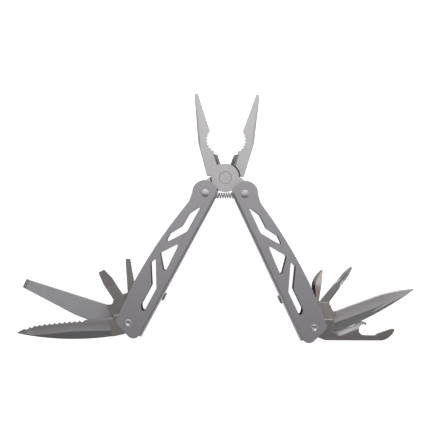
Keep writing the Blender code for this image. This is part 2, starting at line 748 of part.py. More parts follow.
def opener(side, layer):
    """Bottle and can opener: a hook, a round notch behind it, and a long claw below."""
    neck = rounded([(26.6, -3.7, 0), (23.4, -1.5, 3), (11.0, 3.2, 1.0), (12.0, -4.8, 0.8), (6.0, -4.8, 0)])
    notch = arc((29.7, 0.9), 3.1, 90, 285, 10)
    hook = [(31.2, -2.4, 0), (31.0, -3.2, 0.3), (29.0, -4.1, 0.8), (26.6, -3.7, 1.0), (23.4, -1.5, 0)]
    hook = rounded(hook)
    claw = rounded([(6.7, 7.6, 0), (42.4, 7.1, 3.0), (47.3, 2.6, 1.2), (47.9, -0.1, 0.2), (45.6, 0.0, 0.5),
                    (37.8, 2.8, 1.0), (36.0, 4.0, 0.6), (29.7, 4.0, 0)])
    root = tang_outline(neck[1:], claw + notch + hook[:-1])
    return implement("opener", side, layer, root, STEEL_DARK)


# ---------------------------------------------------------------- assembly


LEFT_TOOLS = ((serrated_blade, 126.2), (medium_driver, 59.4), (small_driver, 32.1), (file_blade, 100.9))
RIGHT_TOOLS = ((opener, 118.6), (phillips_driver, 60.5), (awl, 36.9), (knife_blade, 97.5))


def handle(name, side, carrier, splay, tools):
    """One handle hung on the lever of the jaw that carries it, with everything that turns with it."""
    fold = fold_point()
    pivot = empty(f"{name}_handle_fold", carrier, (side * fold[0], fold[1], 0), -90 - side * splay)
    channel(f"{name}_channel", side, pivot)
    place(rivet(f"{name}_fold_rivet", FOLD_SHAFT, FOLD_HEAD, 0.0, STEEL_BRIGHT), pivot)
    inner = FOLD_SHAFT + FIT
    rear = ring(f"{name}_fold_bush_rear", 5.0, inner, INSIDE_LOW + FIT, JAW_LOW - FIT, STEEL_BRIGHT)
    front = ring(f"{name}_fold_bush_front", 5.0, inner, JAW_HIGH + FIT, INSIDE_HIGH - FIT, STEEL_BRIGHT)
    place(rear, pivot)
    place(front, pivot)

    rear_end = (HANDLE_LENGTH, 0, 0)
    place(rivet(f"{name}_tool_rivet", TOOL_SHAFT, TOOL_HEAD, 0.35, STEEL_BRIGHT), pivot, rear_end)
    for layer, (make, opening) in enumerate(tools):
        place(make(side, layer), pivot, rear_end, side * (180 + opening))
    for gap in range(1, len(tools)):
        low = layer_heights(gap)[1] + FIT
        high = layer_heights(gap - 1)[0] - FIT
        spacer = ring(f"{name}_tool_spacer_{gap}", SPACER_RADIUS, TOOL_SHAFT + FIT, low, high, STEEL_BRIGHT)
        place(spacer, pivot, rear_end)
    lock(name, side, pivot)


def main():
    front, rear = pliers()
    handle("left", 1, rear, LEFT_SPLAY, LEFT_TOOLS)
    handle("right", -1, front, RIGHT_SPLAY, RIGHT_TOOLS)
    bpy.context.view_layer.update()


main()
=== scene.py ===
"""The looks of the multi tool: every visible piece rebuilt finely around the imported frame, with its steel.

Lengths are millimetres, scaled to metres when a mesh is made. Angles are degrees.
Every piece is drawn in the frame of what carries it, as the CAD part is:
a jaw closed, as (outward, along) from the pliers pivot; a handle as (u, v), u from its fold rivet
to its tool rivet and v towards its web; an implement as (x, s), s towards its handle's open side.
"""

import json
import math

import bmesh
import bpy
from mathutils import Matrix, Vector


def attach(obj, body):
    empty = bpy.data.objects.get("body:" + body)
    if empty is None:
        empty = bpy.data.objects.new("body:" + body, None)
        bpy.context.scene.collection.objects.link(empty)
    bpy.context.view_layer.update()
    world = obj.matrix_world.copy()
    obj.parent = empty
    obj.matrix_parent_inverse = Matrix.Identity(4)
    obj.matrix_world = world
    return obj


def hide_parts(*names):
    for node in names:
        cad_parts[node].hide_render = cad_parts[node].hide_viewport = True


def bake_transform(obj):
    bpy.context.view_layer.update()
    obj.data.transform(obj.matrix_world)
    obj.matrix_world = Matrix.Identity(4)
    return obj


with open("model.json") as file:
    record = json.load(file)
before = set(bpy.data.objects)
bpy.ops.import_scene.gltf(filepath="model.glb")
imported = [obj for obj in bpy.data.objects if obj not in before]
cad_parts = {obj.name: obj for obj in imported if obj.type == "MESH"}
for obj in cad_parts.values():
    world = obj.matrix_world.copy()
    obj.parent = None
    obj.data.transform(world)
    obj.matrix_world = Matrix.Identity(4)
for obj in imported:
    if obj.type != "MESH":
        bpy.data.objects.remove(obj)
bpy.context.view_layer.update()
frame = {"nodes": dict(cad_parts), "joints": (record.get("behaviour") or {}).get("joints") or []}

MM = 0.001

# the stack through the handles, from the rest plane up
HEAD_HEIGHT = 0.5
SHEET = 1.2
WEB_RELIEF = 0.05
CHANNEL_INSIDE = 9.8
CHANNEL_LOW = HEAD_HEIGHT
CHANNEL_HIGH = CHANNEL_LOW + 2 * SHEET + CHANNEL_INSIDE
INSIDE_LOW = CHANNEL_LOW + SHEET
INSIDE_HIGH = CHANNEL_HIGH - SHEET
MIDDLE = (CHANNEL_LOW + CHANNEL_HIGH) / 2
FIT = 0.05
BROKEN_EDGE = 0.14
BROKEN_ANGLE = 42

# pliers
JAW_THICK = 5.4
JAW_LOW = MIDDLE - JAW_THICK / 2
JAW_HIGH = MIDDLE + JAW_THICK / 2
JAW_TIP_THICK = 3.4
TAPER_START = 22.0
TAPER_END = 53.4
FACE_GAP = 0.2
DISC_RADIUS = 8.4
LAP_CLEARANCE = 0.6
PIVOT_SHAFT = 2.6
PIVOT_HEAD = 3.6
PIVOT_HEAD_DEPTH = 1.0
GRIP_TEETH = 6
GRIP_TOOTH_DEPTH = 0.45
CUTTER_BEVEL = 2.3
FOLD_REACH = 15.1
FOLD_OFFSET = 32.0
LEVER_END_RADIUS = 5.6
FOLD_SHAFT = 1.9
FOLD_HEAD = 2.4
HEAD_SEAT = 0.03
SPRING_DROP = 10.6
SPRING_RADIUS = 1.62
SPRING_WIRE = 0.3
SPRING_TURNS = 7
SPRING_SEAT_GAP = 4.5
SEAT_RADIUS = 1.95
SEAT_DEPTH = 0.9

# handles
SPINE_AT_FOLD = 7.1
SPINE_LEAN = 2.43
BEND_RADIUS = 1.8
CROWN_RADIUS = 7.38
WEB_START = 1.6
WEB_END = 93.0
BUTTON_START = 63.4
BUTTON_LENGTH = 4.9
BUTTON_PROUD = 1.3
BUTTON_WIDTH = 5.0
STEM_WIDTH = 2.2
STEM_INSET = 1.2
LOCK_TRAVEL = 2.4

# implements
TOOL_THICK = 2.0
LAYER_GAP = (CHANNEL_INSIDE - 4 * TOOL_THICK) / 5
TANG_RADIUS = 6.6
LOCK_FLAT = 5.4
TOOL_SHAFT = 2.0
TOOL_HEAD = 2.2
ROOT_EDGE = 0.16
DRIVER_TIP = 0.7


# ---- frames


def joint(name):
    return next(j for j in frame["joints"] if j["name"] == name)


def joint_point(name):
    """A joint's place in plan, in millimetres."""
    place = joint(name)["pos_m"]
    return Vector((place[0] / MM, place[1] / MM))


def spin(degrees, axis="Z"):
    return Matrix.Rotation(math.radians(degrees), 4, axis)


def standing(point, turn):
    """The matrix of a frame at a point in plan, turned by an angle. Its lengths are metres."""
    return Matrix.Translation((point.x * MM, point.y * MM, 0)) @ spin(turn)


def heading(start, end):
    return math.degrees(math.atan2(end.y - start.y, end.x - start.x))


PIVOT = joint_point("pliers_pivot")
TOOL_JOINTS = {"left": "file_pivot", "right": "awl_pivot"}
SIDES = {"left": 1, "right": -1}


def jaw_frame(side):
    """A closed jaw's frame, from where its lever carries the handle. side is -1 for the front jaw."""
    carried = "left_fold" if side == 1 else "right_fold"
    return standing(PIVOT, heading(PIVOT, joint_point(carried)) + 90 + side * FOLD_OFFSET)


def handle_turn(name):
    return heading(joint_point(name + "_fold"), joint_point(TOOL_JOINTS[name]))


def handle_frame(name):
    return standing(joint_point(name + "_fold"), handle_turn(name))


def handle_length(name):
    return (joint_point(name + "_fold") - joint_point(TOOL_JOINTS[name])).length


def tool_frame(node, handle):
    opening = -joint(node + "_pivot")["range_deg"][0]
    return standing(joint_point(node + "_pivot"), handle_turn(handle) + SIDES[handle] * (180 + opening))


def lock_frame(name):
    side = SIDES[name]
    shift = Matrix.Translation((0, side * SPINE_AT_FOLD * MM, 0))
    return handle_frame(name) @ shift @ spin(side * SPINE_LEAN)


# ---- outlines


def arc(centre, radius, start, end, steps):
    """Points on a circle from one angle to another, both ends included."""
    points = []
    for i in range(steps + 1):
        angle = math.radians(start + (end - start) * i / steps)
        points.append((centre[0] + radius * math.cos(angle), centre[1] + radius * math.sin(angle)))
    return points


def bow(start, end, rise, steps):
    """Points on a shallow curve from start to end that rises to its left by `rise` at the middle."""
    chord = Vector(end) - Vector(start)
    left = Vector((-chord.y, chord.x)).normalized()
    points = []
    for i in range(steps + 1):
        t = i / steps
        point = Vector(start) + chord * t + left * (4 * rise * t * (1 - t))
        points.append((point.x, point.y))
    return points


def rounded(corners, step=10):
    """An outline's points, each corner (x, y, radius) turned by an arc. A radius of 0 stays sharp."""
    points = []
    for i, (x, y, radius) in enumerate(corners):
        here = Vector((x, y))
        if radius == 0:
            points.append((x, y))
            continue
        before = (Vector(corners[i - 1][:2]) - here).normalized()
        after = (Vector(corners[(i + 1) % len(corners)][:2]) - here).normalized()
        half = before.angle(after) / 2
        centre = here + (before + after).normalized() * (radius / math.sin(half))
        first = here + before * (radius / math.tan(half)) - centre
        last = here + after * (radius / math.tan(half)) - centre
        start = math.degrees(math.atan2(first.y, first.x))
        turn = math.degrees(math.atan2(last.y, last.x)) - start
        turn = (turn + 180) % 360 - 180
        points += arc(centre, radius, start, start + turn, max(2, math.ceil(abs(turn) / step)))
    return points


def joined(*pieces):
    """One outline from several stretches of points, without repeated points."""
    points = []
    for piece in pieces:
        for point in piece:
            if not points or math.dist(point, points[-1]) > 0.01:
                points.append(point)
    if math.dist(points[0], points[-1]) <= 0.01:
        points.pop()
    return points


def mirrored(points, side):
    return [(x, side * y) for x, y in points]


def flipped(points, side):
    return [(side * x, y) for x, y in points]


def circle(radius, steps=48):
    return arc((0, 0), radius, 0, 360 - 360 / steps, steps - 1)


def blend(x, start, end, low, high):
    """A value that goes from low at start to high at end, and stays there."""
    t = min(1.0, max(0.0, (x - start) / (end - start)))
    return low + (high - low) * t


def hump(x, start, end, rise):
    """A parabola of this rise between start and end, and zero outside them."""
    t = min(1.0, max(0.0, (x - start) / (end - start)))
    return 4 * rise * t * (1 - t)


# ---- steel

GRAIN_DEPTH = 0.006


class Nodes:
    """Builds one material's node tree."""

    def __init__(self, name):
        self.material = bpy.data.materials.new(name)
        self.material.use_nodes = True
        self.tree = self.material.node_tree
        self.shader = self.tree.nodes["Principled BSDF"]
        self.place = self.add("ShaderNodeTexCoord").outputs["Object"]

    def add(self, kind, **settings):
        node = self.tree.nodes.new(kind)
        for key, value in settings.items():
            setattr(node, key, value)
        return node

    def link(self, source, target):
        self.tree.links.new(source, target)

    def noise(self, scale, detail=2.0, stretch=(1, 1, 1), distortion=0.0):
        """Noise in the piece's own frame. `scale` is in features per millimetre."""
        mapping = self.add("ShaderNodeMapping")
        mapping.inputs["Scale"].default_value = stretch
        self.link(self.place, mapping.inputs["Vector"])
        noise = self.add("ShaderNodeTexNoise")
        noise.inputs["Scale"].default_value = scale / MM
        noise.inputs["Detail"].default_value = detail
        noise.inputs["Distortion"].default_value = distortion
        self.link(mapping.outputs["Vector"], noise.inputs["Vector"])
        return noise.outputs["Fac"]

    def ramp(self, value, low, high, out_low, out_high):
        node = self.add("ShaderNodeMapRange")
        for key, number in (("From Min", low), ("From Max", high), ("To Min", out_low), ("To Max", out_high)):
            node.inputs[key].default_value = number
        self.link(value, node.inputs["Value"])
        return node.outputs["Result"]

    def mix(self, factor, first, second):
        node = self.add("ShaderNodeMix", data_type="RGBA")
        self.link(factor, node.inputs["Factor"])
        for socket, colour in ((node.inputs["A"], first), (node.inputs["B"], second)):
            if isinstance(colour, tuple):
                socket.default_value = (*colour, 1)
            else:
                self.link(colour, socket)
        return node.outputs["Result"]

    def bump(self, height, strength, distance):
        node = self.add("ShaderNodeBump")
        node.inputs["Strength"].default_value = strength
        node.inputs["Distance"].default_value = distance * MM
        self.link(height, node.inputs["Height"])
        return node.outputs["Normal"]

    def metal(self, tone, grain, rough_low, rough_high, strength, depth):
        """The finished steel: its colour, with its grain in the gloss and in the bump."""
        self.link(tone, self.shader.inputs["Base Color"])
        self.link(self.ramp(grain, 0.3, 0.7, rough_low, rough_high), self.shader.inputs["Roughness"])
        self.link(self.bump(grain, strength, depth), self.shader.inputs["Normal"])
        self.shader.inputs["Metallic"].default_value = 1.0
        return self.material


def scaled(colour, factor):
    return tuple(min(1.0, channel * factor) for channel in colour)


def blasted(name, colour, roughness, depth=0.012):
    """Bead-blasted steel: an even, fine pitted grain with slow changes of tone."""
    n = Nodes(name)
    clouds = n.noise(0.045, 3.0)
    grain = n.noise(3.2, 2.0)
    tone = n.mix(clouds, scaled(colour, 0.95), scaled(colour, 1.05))
    speckle = n.ramp(grain, 0.35, 0.65, 0.0, 1.0)
    tone = n.mix(speckle, tone, scaled(colour, 1.03))
    return n.metal(tone, grain, roughness - 0.04, roughness + 0.04, 0.5, depth)


def brushed(name, colour, roughness, along=(0.03, 1, 1)):
    """Ground or brushed steel: fine lines that run along the piece's X axis, or as `along` stretches them."""
    n = Nodes(name)
    lines = n.noise(5.0, 3.0, along)
    clouds = n.noise(0.12, 2.0)
    tone = n.mix(lines, scaled(colour, 0.9), scaled(colour, 1.1))
    tone = n.mix(clouds, tone, scaled(colour, 0.96))
    return n.metal(tone, lines, roughness - 0.05, roughness + 0.06, 0.5, GRAIN_DEPTH)


def turned_steel(name, colour, roughness):
    """Steel turned on a lathe: faint rings about the piece's own Z axis."""
    n = Nodes(name)
    flat = n.add("ShaderNodeMapping")
    flat.inputs["Scale"].default_value = (1, 1, 0)
    n.link(n.place, flat.inputs["Vector"])
    length = n.add("ShaderNodeVectorMath", operation="LENGTH")
    n.link(flat.outputs[0], length.inputs[0])
    rings = n.add("ShaderNodeTexNoise", noise_dimensions="1D")
    rings.inputs["Scale"].default_value = 5.0 / MM
    rings.inputs["Detail"].default_value = 2.0
    n.link(length.outputs["Value"], rings.inputs["W"])
    value = rings.outputs["Fac"]
    tone = n.mix(value, scaled(colour, 0.9), scaled(colour, 1.08))
    return n.metal(tone, value, roughness - 0.05, roughness + 0.05, 0.3, GRAIN_DEPTH)


def stained(name, colour, warm, roughness):
    """Tumbled steel with the faint straw-brown tone that heat treatment leaves in patches."""
    n = Nodes(name)
    patches = n.ramp(n.noise(0.22, 3.0, distortion=0.6), 0.4, 0.66, 0.0, 1.0)
    lines = n.noise(4.0, 2.0, (0.15, 1, 1))
    tone = n.mix(patches, colour, warm)
    tone = n.mix(n.ramp(lines, 0.3, 0.7, 0.0, 0.5), tone, scaled(colour, 1.12))
    return n.metal(tone, lines, roughness - 0.05, roughness + 0.06, 0.4, GRAIN_DEPTH)


HANDLE = blasted("handle_blasted", (0.385, 0.37, 0.393), 0.50)
HANDLE_EDGE = blasted("handle_edge", (0.47, 0.455, 0.475), 0.42, depth=0.006)
# the dark walls of the handle's windows, holes and plate edges, and the darker faces inside the channel, are
# painted shade
HANDLE_WALL_SHADE = brushed("handle_wall_shade", (0.055, 0.052, 0.055), 0.55, along=(1, 1, 0.1))
HANDLE_INSIDE_SHADE = blasted("handle_inside_shade", (0.17, 0.163, 0.172), 0.55, depth=0.008)
JAW = blasted("jaw_satin", (0.485, 0.472, 0.475), 0.46, depth=0.008)
JAW_EDGE = blasted("jaw_edge", (0.44, 0.43, 0.43), 0.42, depth=0.004)
# the cutter's ground bevels: a real ground finish, painted darker as the shade of their leaning faces
GROUND_SHADE = brushed("cutter_ground_shade", (0.23, 0.225, 0.226), 0.36, along=(1, 0.03, 1))
LAP = blasted("lap_shadow", (0.06, 0.057, 0.058), 0.5)
TOOL_RIVET = turned_steel("tool_rivet", (0.60, 0.59, 0.60), 0.30)
RIVET = turned_steel("rivet_turned", (0.46, 0.45, 0.455), 0.38)
PIVOT_FACE = turned_steel("pivot_face", (0.50, 0.487, 0.49), 0.47)
TOOL = stained("tool_steel", (0.33, 0.315, 0.32), (0.33, 0.285, 0.26), 0.34)
# the sloped faces of the driver tips, the Phillips flutes and the awl's bevel: steel with its heat tint,
# painted darker as shade
SLOPE_SHADE = stained("slope_shade", (0.20, 0.19, 0.193), (0.20, 0.175, 0.165), 0.38)
TANG = stained("tang_steel", (0.285, 0.265, 0.262), (0.295, 0.235, 0.205), 0.34)
TANG_WARM = stained("tang_warm", (0.46, 0.43, 0.41), (0.48, 0.40, 0.345), 0.34)
# bright steel on the implements' broken edges, the knife's cutting bevel and the nail nick's lip: a painted
# highlight
TOOL_EDGE_HIGHLIGHT = brushed("tool_edge_highlight", (0.52, 0.50, 0.49), 0.30)
SCOOP = brushed("opener_hollow", (0.38, 0.37, 0.37), 0.45)
TANG_RED = stained("tang_red", (0.36, 0.32, 0.315), (0.43, 0.31, 0.285), 0.36)
TOOL_BRIGHT = brushed("tool_ground", (0.34, 0.33, 0.325), 0.38)
BLADE = brushed("blade_ground", (0.29, 0.282, 0.283), 0.36)
BLADE_FLAT = brushed("blade_flat", (0.32, 0.315, 0.325), 0.36)
SERRATED = brushed("serrated_ground", (0.225, 0.217, 0.222), 0.38)
SERRATED_FLAT = brushed("serrated_flat", (0.25, 0.243, 0.258), 0.38)
FILE = blasted("file_steel", (0.46, 0.45, 0.465), 0.44, depth=0.004)
FILE_END = blasted("file_end", (0.33, 0.32, 0.33), 0.40)
SPRING = turned_steel("spring_wire", (0.36, 0.35, 0.345), 0.24)
BUTTON = stained("button_steel", (0.30, 0.29, 0.29), (0.31, 0.28, 0.26), 0.40)
WASHER = turned_steel("washer_steel", (0.5, 0.49, 0.48), 0.34)


# ---- meshes


def linked(name, data):
    """An object in the scene. A mesh gets room for four surfaces, so that Booleans keep them apart."""
    if isinstance(data, bpy.types.Mesh):
        while len(data.materials) < 4:
            data.materials.append(None)
    obj = bpy.data.objects.new(name, data)
    bpy.context.scene.collection.objects.link(obj)
    return obj


def built(name, bm):
    """An object from a closed bmesh, with its faces turned outwards."""
    bmesh.ops.recalc_face_normals(bm, faces=bm.faces)
    mesh = bpy.data.meshes.new(name)
    bm.to_mesh(mesh)
    bm.free()
    return linked(name, mesh)


def welded(mesh, within=0.0002):
    """The mesh with its seams closed and its faces turned outwards."""
    bm = bmesh.new()
    bm.from_mesh(mesh)
    bmesh.ops.remove_doubles(bm, verts=bm.verts, dist=within * MM)
    bmesh.ops.recalc_face_normals(bm, faces=bm.faces)
    bm.to_mesh(mesh)
    bm.free()
    return mesh


def surfaced(mesh, *materials):
    """Gives a mesh its materials in place of the room kept for them."""
    mesh.materials.clear()
    for material in materials:
        mesh.materials.append(material)


def evaluated(obj):
    bpy.context.view_layer.update()
    return bpy.data.meshes.new_from_object(obj.evaluated_get(bpy.context.evaluated_depsgraph_get()))


def applied(obj):
    """The piece with its modifiers made part of its mesh."""
    mesh = evaluated(obj)
    obj.modifiers.clear()
    obj.data = mesh
    return obj


def plate(name, outlines, low, high, surface=0):
    """A flat piece between two heights, from an outer outline and any holes in it."""
    curve = bpy.data.curves.new(name, "CURVE")
    curve.dimensions = "2D"
    curve.fill_mode = "BOTH"
    curve.extrude = (high - low) / 2 * MM
    for outline in outlines:
        spline = curve.splines.new("POLY")
        spline.points.add(len(outline) - 1)
        for point, (x, y) in zip(spline.points, outline):
            point.co = (x * MM, y * MM, 0, 1)
        spline.use_cyclic_u = True
    drawn = linked(name + "_drawn", curve)
    mesh = evaluated(drawn)
    bpy.data.objects.remove(drawn)
    mesh.transform(Matrix.Translation((0, 0, (low + high) / 2 * MM)))
    obj = linked(name, welded(mesh))
    for polygon in obj.data.polygons:
        polygon.material_index = surface
    return obj


def turned(name, profile, steps=64, surfaces=None):
    """A round piece about Z, from a profile of (radius, height) that runs down its outer side."""
    bm = bmesh.new()
    rings = []
    for radius, height in profile:
        if radius < 1e-6:
            rings.append([bm.verts.new((0, 0, height * MM))])
        else:
            rings.append([bm.verts.new((x * MM, y * MM, height * MM)) for x, y in circle(radius, steps)])
    for index, (upper, lower) in enumerate(zip(rings, rings[1:])):
        for i in range(steps):
            j = (i + 1) % steps
            corners = [upper[i % len(upper)], upper[j % len(upper)]]
            corners += [lower[j % len(lower)], lower[i % len(lower)]]
            unique = list(dict.fromkeys(corners))
            face = bm.faces.new(unique)
            face.material_index = surfaces[index] if surfaces else 0
    return built(name, bm)


def skin(name, sections, surfaces=None):
    """A solid through a row of sections, each a loop of the same number of (x, y, z) points."""
    bm = bmesh.new()
    loops = [[bm.verts.new(Vector(point) * MM) for point in section] for section in sections]
    count = len(sections[0])
    for first, second in zip(loops, loops[1:]):
        for i in range(count):
            j = (i + 1) % count
            face = bm.faces.new((first[i], first[j], second[j], second[i]))
            face.material_index = surfaces[i] if surfaces else 0
    bm.faces.new(list(reversed(loops[0])))
    bm.faces.new(loops[-1])
    return built(name, bm)


def beam(name, section, start, end, surface=0):
    """A straight bar along X, with a section drawn as (y, z)."""
    bar = plate(name, [section], start, end, surface=surface)
    bar.data.transform(Matrix(((0, 0, 1, 0), (1, 0, 0, 0), (0, 1, 0, 0), (0, 0, 0, 1))))
    return bar


def moved(obj, location=(0, 0, 0), turn=0.0):
    """A helper shape moved in its piece's frame, in its own mesh."""
    shift = Matrix.Translation(Vector(location) * MM)
    obj.data.transform(shift @ spin(turn))
    return obj


def combine(obj, other, operation="DIFFERENCE"):
    """A Boolean with another shape, which is then removed."""
    modifier = obj.modifiers.new("cut", "BOOLEAN")
    modifier.operation = operation
    modifier.solver = "EXACT"
    modifier.object = other
    applied(obj)
    bpy.data.objects.remove(other)
    return obj


def drilled(obj, radius, low, high, place=(0, 0, 0)):
    """Cuts a hole for a shaft of this radius, with a little play."""
    hole = plate("hole", [circle(radius + FIT)], low - 1, high + 1)
    combine(obj, moved(hole, place))


def merged(obj):
    """The piece with its coplanar faces joined, so that its edges round cleanly."""
    bm = bmesh.new()
    bm.from_mesh(obj.data)
    bmesh.ops.dissolve_limit(
        bm, angle_limit=math.radians(0.25), verts=bm.verts, edges=bm.edges, delimit={"MATERIAL"}
    )
    bm.to_mesh(obj.data)
    bm.free()


def edged(obj, width, surface=None, angle=32):
    """The piece with its sharp edges broken by a small round."""
    merged(obj)
    modifier = obj.modifiers.new("edge", "BEVEL")
    modifier.limit_method = "ANGLE"
    modifier.angle_limit = math.radians(angle)
    modifier.width = width * MM
    modifier.segments = 2
    modifier.use_clamp_overlap = False
    modifier.miter_outer = "MITER_ARC"
    if surface is not None:
        modifier.material = surface
    return applied(obj)


def finish_piece(obj, node, place, body, materials, sharp=32, flat=2.0):
    """Names, shades and places a finished piece, and rides it on its body in place of its CAD node.

    Faces that look up or down by more than `flat` of their normal stay flat.
    """
    obj.name = node + "_fine"
    obj.data.name = obj.name
    surfaces = [min(polygon.material_index, len(materials) - 1) for polygon in obj.data.polygons]
    surfaced(obj.data, *materials)
    obj.data.polygons.foreach_set("material_index", surfaces)
    obj.data.shade_smooth()
    obj.data.set_sharp_from_angle(angle=math.radians(sharp))
    smooth = [abs(polygon.normal.z) < flat for polygon in obj.data.polygons]
    obj.data.polygons.foreach_set("use_smooth", smooth)
    obj.matrix_world = place
    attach(obj, body)
    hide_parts(node)


def stretched(obj, node):
    """Finishes a spring that changes its length between two bodies, in place of its CAD node."""
    surfaced(obj.data, SPRING)
    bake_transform(obj)
    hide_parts(node)


# ---- pliers


def fold_point():
    """The fold rivet in the closed jaw's outline, on the side its lever crosses to."""
    angle = math.radians(FOLD_OFFSET)
    return (-FOLD_REACH * math.sin(angle), -FOLD_REACH * math.cos(angle))


def grip_edge():
    """The toothed hollow of the pipe grip, from the lip down to the cutter."""
    steps = 10
    hollow = bow((1.2, 29.0), (2.1, 17.4), 2.4, GRIP_TEETH * steps)
    points = []
    for i, (outward, along) in enumerate(hollow):
        tooth = GRIP_TOOTH_DEPTH * math.cos(math.tau * i / steps)
        points.append((outward - tooth, along))
    return points


def nose_face():
    """The flat gripping face of the nose, crossed by fine teeth."""
    first, last, pitch, depth = 31.0, 51.4, 0.85, 0.16
    points = [(FACE_GAP, 29.9), (FACE_GAP, first)]
    along = first
    while along + pitch < last:
        points += [(FACE_GAP + depth, along + pitch * 0.5), (FACE_GAP, along + pitch)]
        along += pitch
    return points


def jaw_outline():
    """One jaw with its disc and lever, closed, running clockwise as (outward, along)."""
    cutter = rounded([(FACE_GAP, 8.6, 0), (FACE_GAP, 14.9, 0.15), (2.1, 15.5, 0), (2.1, 17.0, 0)])
    nose = [(FACE_GAP, 51.5, 0), (FACE_GAP, 53.3, 0.4), (2.2, 53.4, 0.7), (9.1, 25.0, 6), (9.9, 11, 0)]
    base = rounded([(9.9, 11.0, 0), (10.1, 4.4, 0.5), (8.2, 3.75, 0)])
    lever_end = arc(fold_point(), LEVER_END_RADIUS, -42, -195, 22)
    tab = rounded([lever_end[-1] + (0,), (-10.2, -4.8, 0.6), (-9.2, -3.3, 0.3), (-8.1, -2.2, 0)])
    return joined(
        cutter[:-1],
        list(reversed(grip_edge())),
        nose_face(),
        rounded(nose)[:-1],
        base,
        arc((0, 0), DISC_RADIUS, 23, -98, 32),
        [(-1.3, -9.0), (-0.35, -12.9)],
        lever_end,
        tab[1:],
        arc((0, 0), DISC_RADIUS, 195, 92, 26),
    )


def nose_thickness(along):
    """The nose's thickness at this height, as a share of the jaw's."""
    t = blend(along, TAPER_START, TAPER_END, 0, 1) ** 1.25
    return 1 - t * (1 - JAW_TIP_THICK / JAW_THICK)


def tapered(obj):
    """The nose slimmed smoothly towards its tip, front and rear."""
    bm = bmesh.new()
    bm.from_mesh(obj.data)
    slices = spaced(TAPER_START, TAPER_END, 2.8)
    for along in slices[:-1]:
        geometry = list(bm.verts) + list(bm.edges) + list(bm.faces)
        bmesh.ops.bisect_plane(bm, geom=geometry, plane_co=(0, along * MM, 0), plane_no=(0, 1, 0))
    for vertex in bm.verts:
        along = vertex.co.y / MM
        keep = 1.0
        for first, last in zip(slices, slices[1:]):
            keep = blend(along, first, last, keep, nose_thickness(last)) if along > first else keep
        vertex.co.z = MIDDLE * MM + (vertex.co.z - MIDDLE * MM) * keep
    bm.to_mesh(obj.data)
    bm.free()


def jaw(node, side, body):
    """A jaw, its half of the lap joint and its lever."""
    front = side == -1
    obj = plate(node, [flipped(jaw_outline(), side)], JAW_LOW, JAW_HIGH)

    lap_low, lap_high = (JAW_LOW - 1, MIDDLE + FIT) if front else (MIDDLE - FIT, JAW_HIGH + 1)
    lap = plate("lap", [circle(DISC_RADIUS + LAP_CLEARANCE, 96)], lap_low, lap_high, surface=3)
    combine(obj, lap)
    head = PIVOT_HEAD + FIT
    if front:
        step = JAW_HIGH - PIVOT_HEAD_DEPTH
        profile = [(0, JAW_HIGH + 1), (head, JAW_HIGH + 1), (head, step)]
        profile += [(PIVOT_SHAFT, step), (PIVOT_SHAFT, JAW_LOW), (0, JAW_LOW)]
    else:
        step = JAW_LOW + PIVOT_HEAD_DEPTH
        profile = [(0, JAW_HIGH), (PIVOT_SHAFT, JAW_HIGH), (PIVOT_SHAFT, step)]
        profile += [(head, step), (head, JAW_LOW - 1), (0, JAW_LOW - 1)]
    combine(obj, turned("pivot_hole", profile))
    fold = fold_point()
    drilled(obj, FOLD_SHAFT, JAW_LOW, JAW_HIGH, (side * fold[0], fold[1], 0))

    for sign in (1, -1):
        top = MIDDLE + sign * JAW_THICK / 2
        edge = MIDDLE + sign * 0.15
        bevel = [(0.5, edge), (-FACE_GAP, edge), (-FACE_GAP - CUTTER_BEVEL, top)]
        bevel += [(-FACE_GAP - CUTTER_BEVEL, top + sign * 2), (0.5, top + sign * 2)]
        # the cutter's bevel faces take the ground steel, which is painted shade
        cutter = beam("bevel", flipped(bevel, side), 8.75, 15.55, surface=2)
        combine(obj, moved(cutter, turn=90))

    seat = plate("seat", [circle(SEAT_RADIUS, 40)], -SEAT_DEPTH - 0.2, 2)
    seat.data.transform(spin(90 * side, "Y"))
    seat_place = Vector((-side * SPRING_SEAT_GAP, -SPRING_DROP, MIDDLE))
    seat_place.rotate(spin(-jaw_lean(side)))
    combine(obj, moved(seat, seat_place, -jaw_lean(side)))
    tapered(obj)

    # the long chamfer on the nose's outer side runs out at the jaw's corner
    tip, corner = Vector((side * 2.2, 53.4)), Vector((side * 9.1, 25.0))
    for sign in (1, -1):
        top = MIDDLE + sign * JAW_THICK / 2
        section = [(-2.15, top + sign), (0.5, top - sign * 1.65), (2.0, top - sign * 1.65), (2.0, top + sign)]
        wedge = beam("chamfer", flipped(section, side), -4, 40)
        combine(obj, moved(wedge, (tip.x, tip.y, 0), heading(tip, corner)))

    edged(obj, BROKEN_EDGE, surface=1, angle=BROKEN_ANGLE)
    materials = [JAW, JAW_EDGE, GROUND_SHADE, LAP]
    finish_piece(obj, node, jaw_frame(side), body, materials, flat=0.95)


def jaw_lean(side):
    return math.degrees(jaw_frame(side).to_euler().z)


def pivot_rivet():
    high, low = JAW_HIGH - 0.02, JAW_LOW + 0.02
    head_high = high - PIVOT_HEAD_DEPTH + FIT
    head_low = low + PIVOT_HEAD_DEPTH - FIT
    rim = PIVOT_HEAD
    profile = [(0, high), (rim - 0.12, high), (rim - 0.05, high - 0.03), (rim, high - 0.12), (rim, head_high)]
    profile += [(PIVOT_SHAFT - FIT, head_high), (PIVOT_SHAFT - FIT, head_low), (rim, head_low)]
    profile += [(rim, low + 0.12), (rim - 0.05, low + 0.03), (rim - 0.12, low), (0, low)]
    obj = turned("rivet", profile)
    place, node = standing(PIVOT, 0), "jaw_pivot_rivet"
    finish_piece(obj, node, place, "front_jaw", [PIVOT_FACE], flat=0.99)


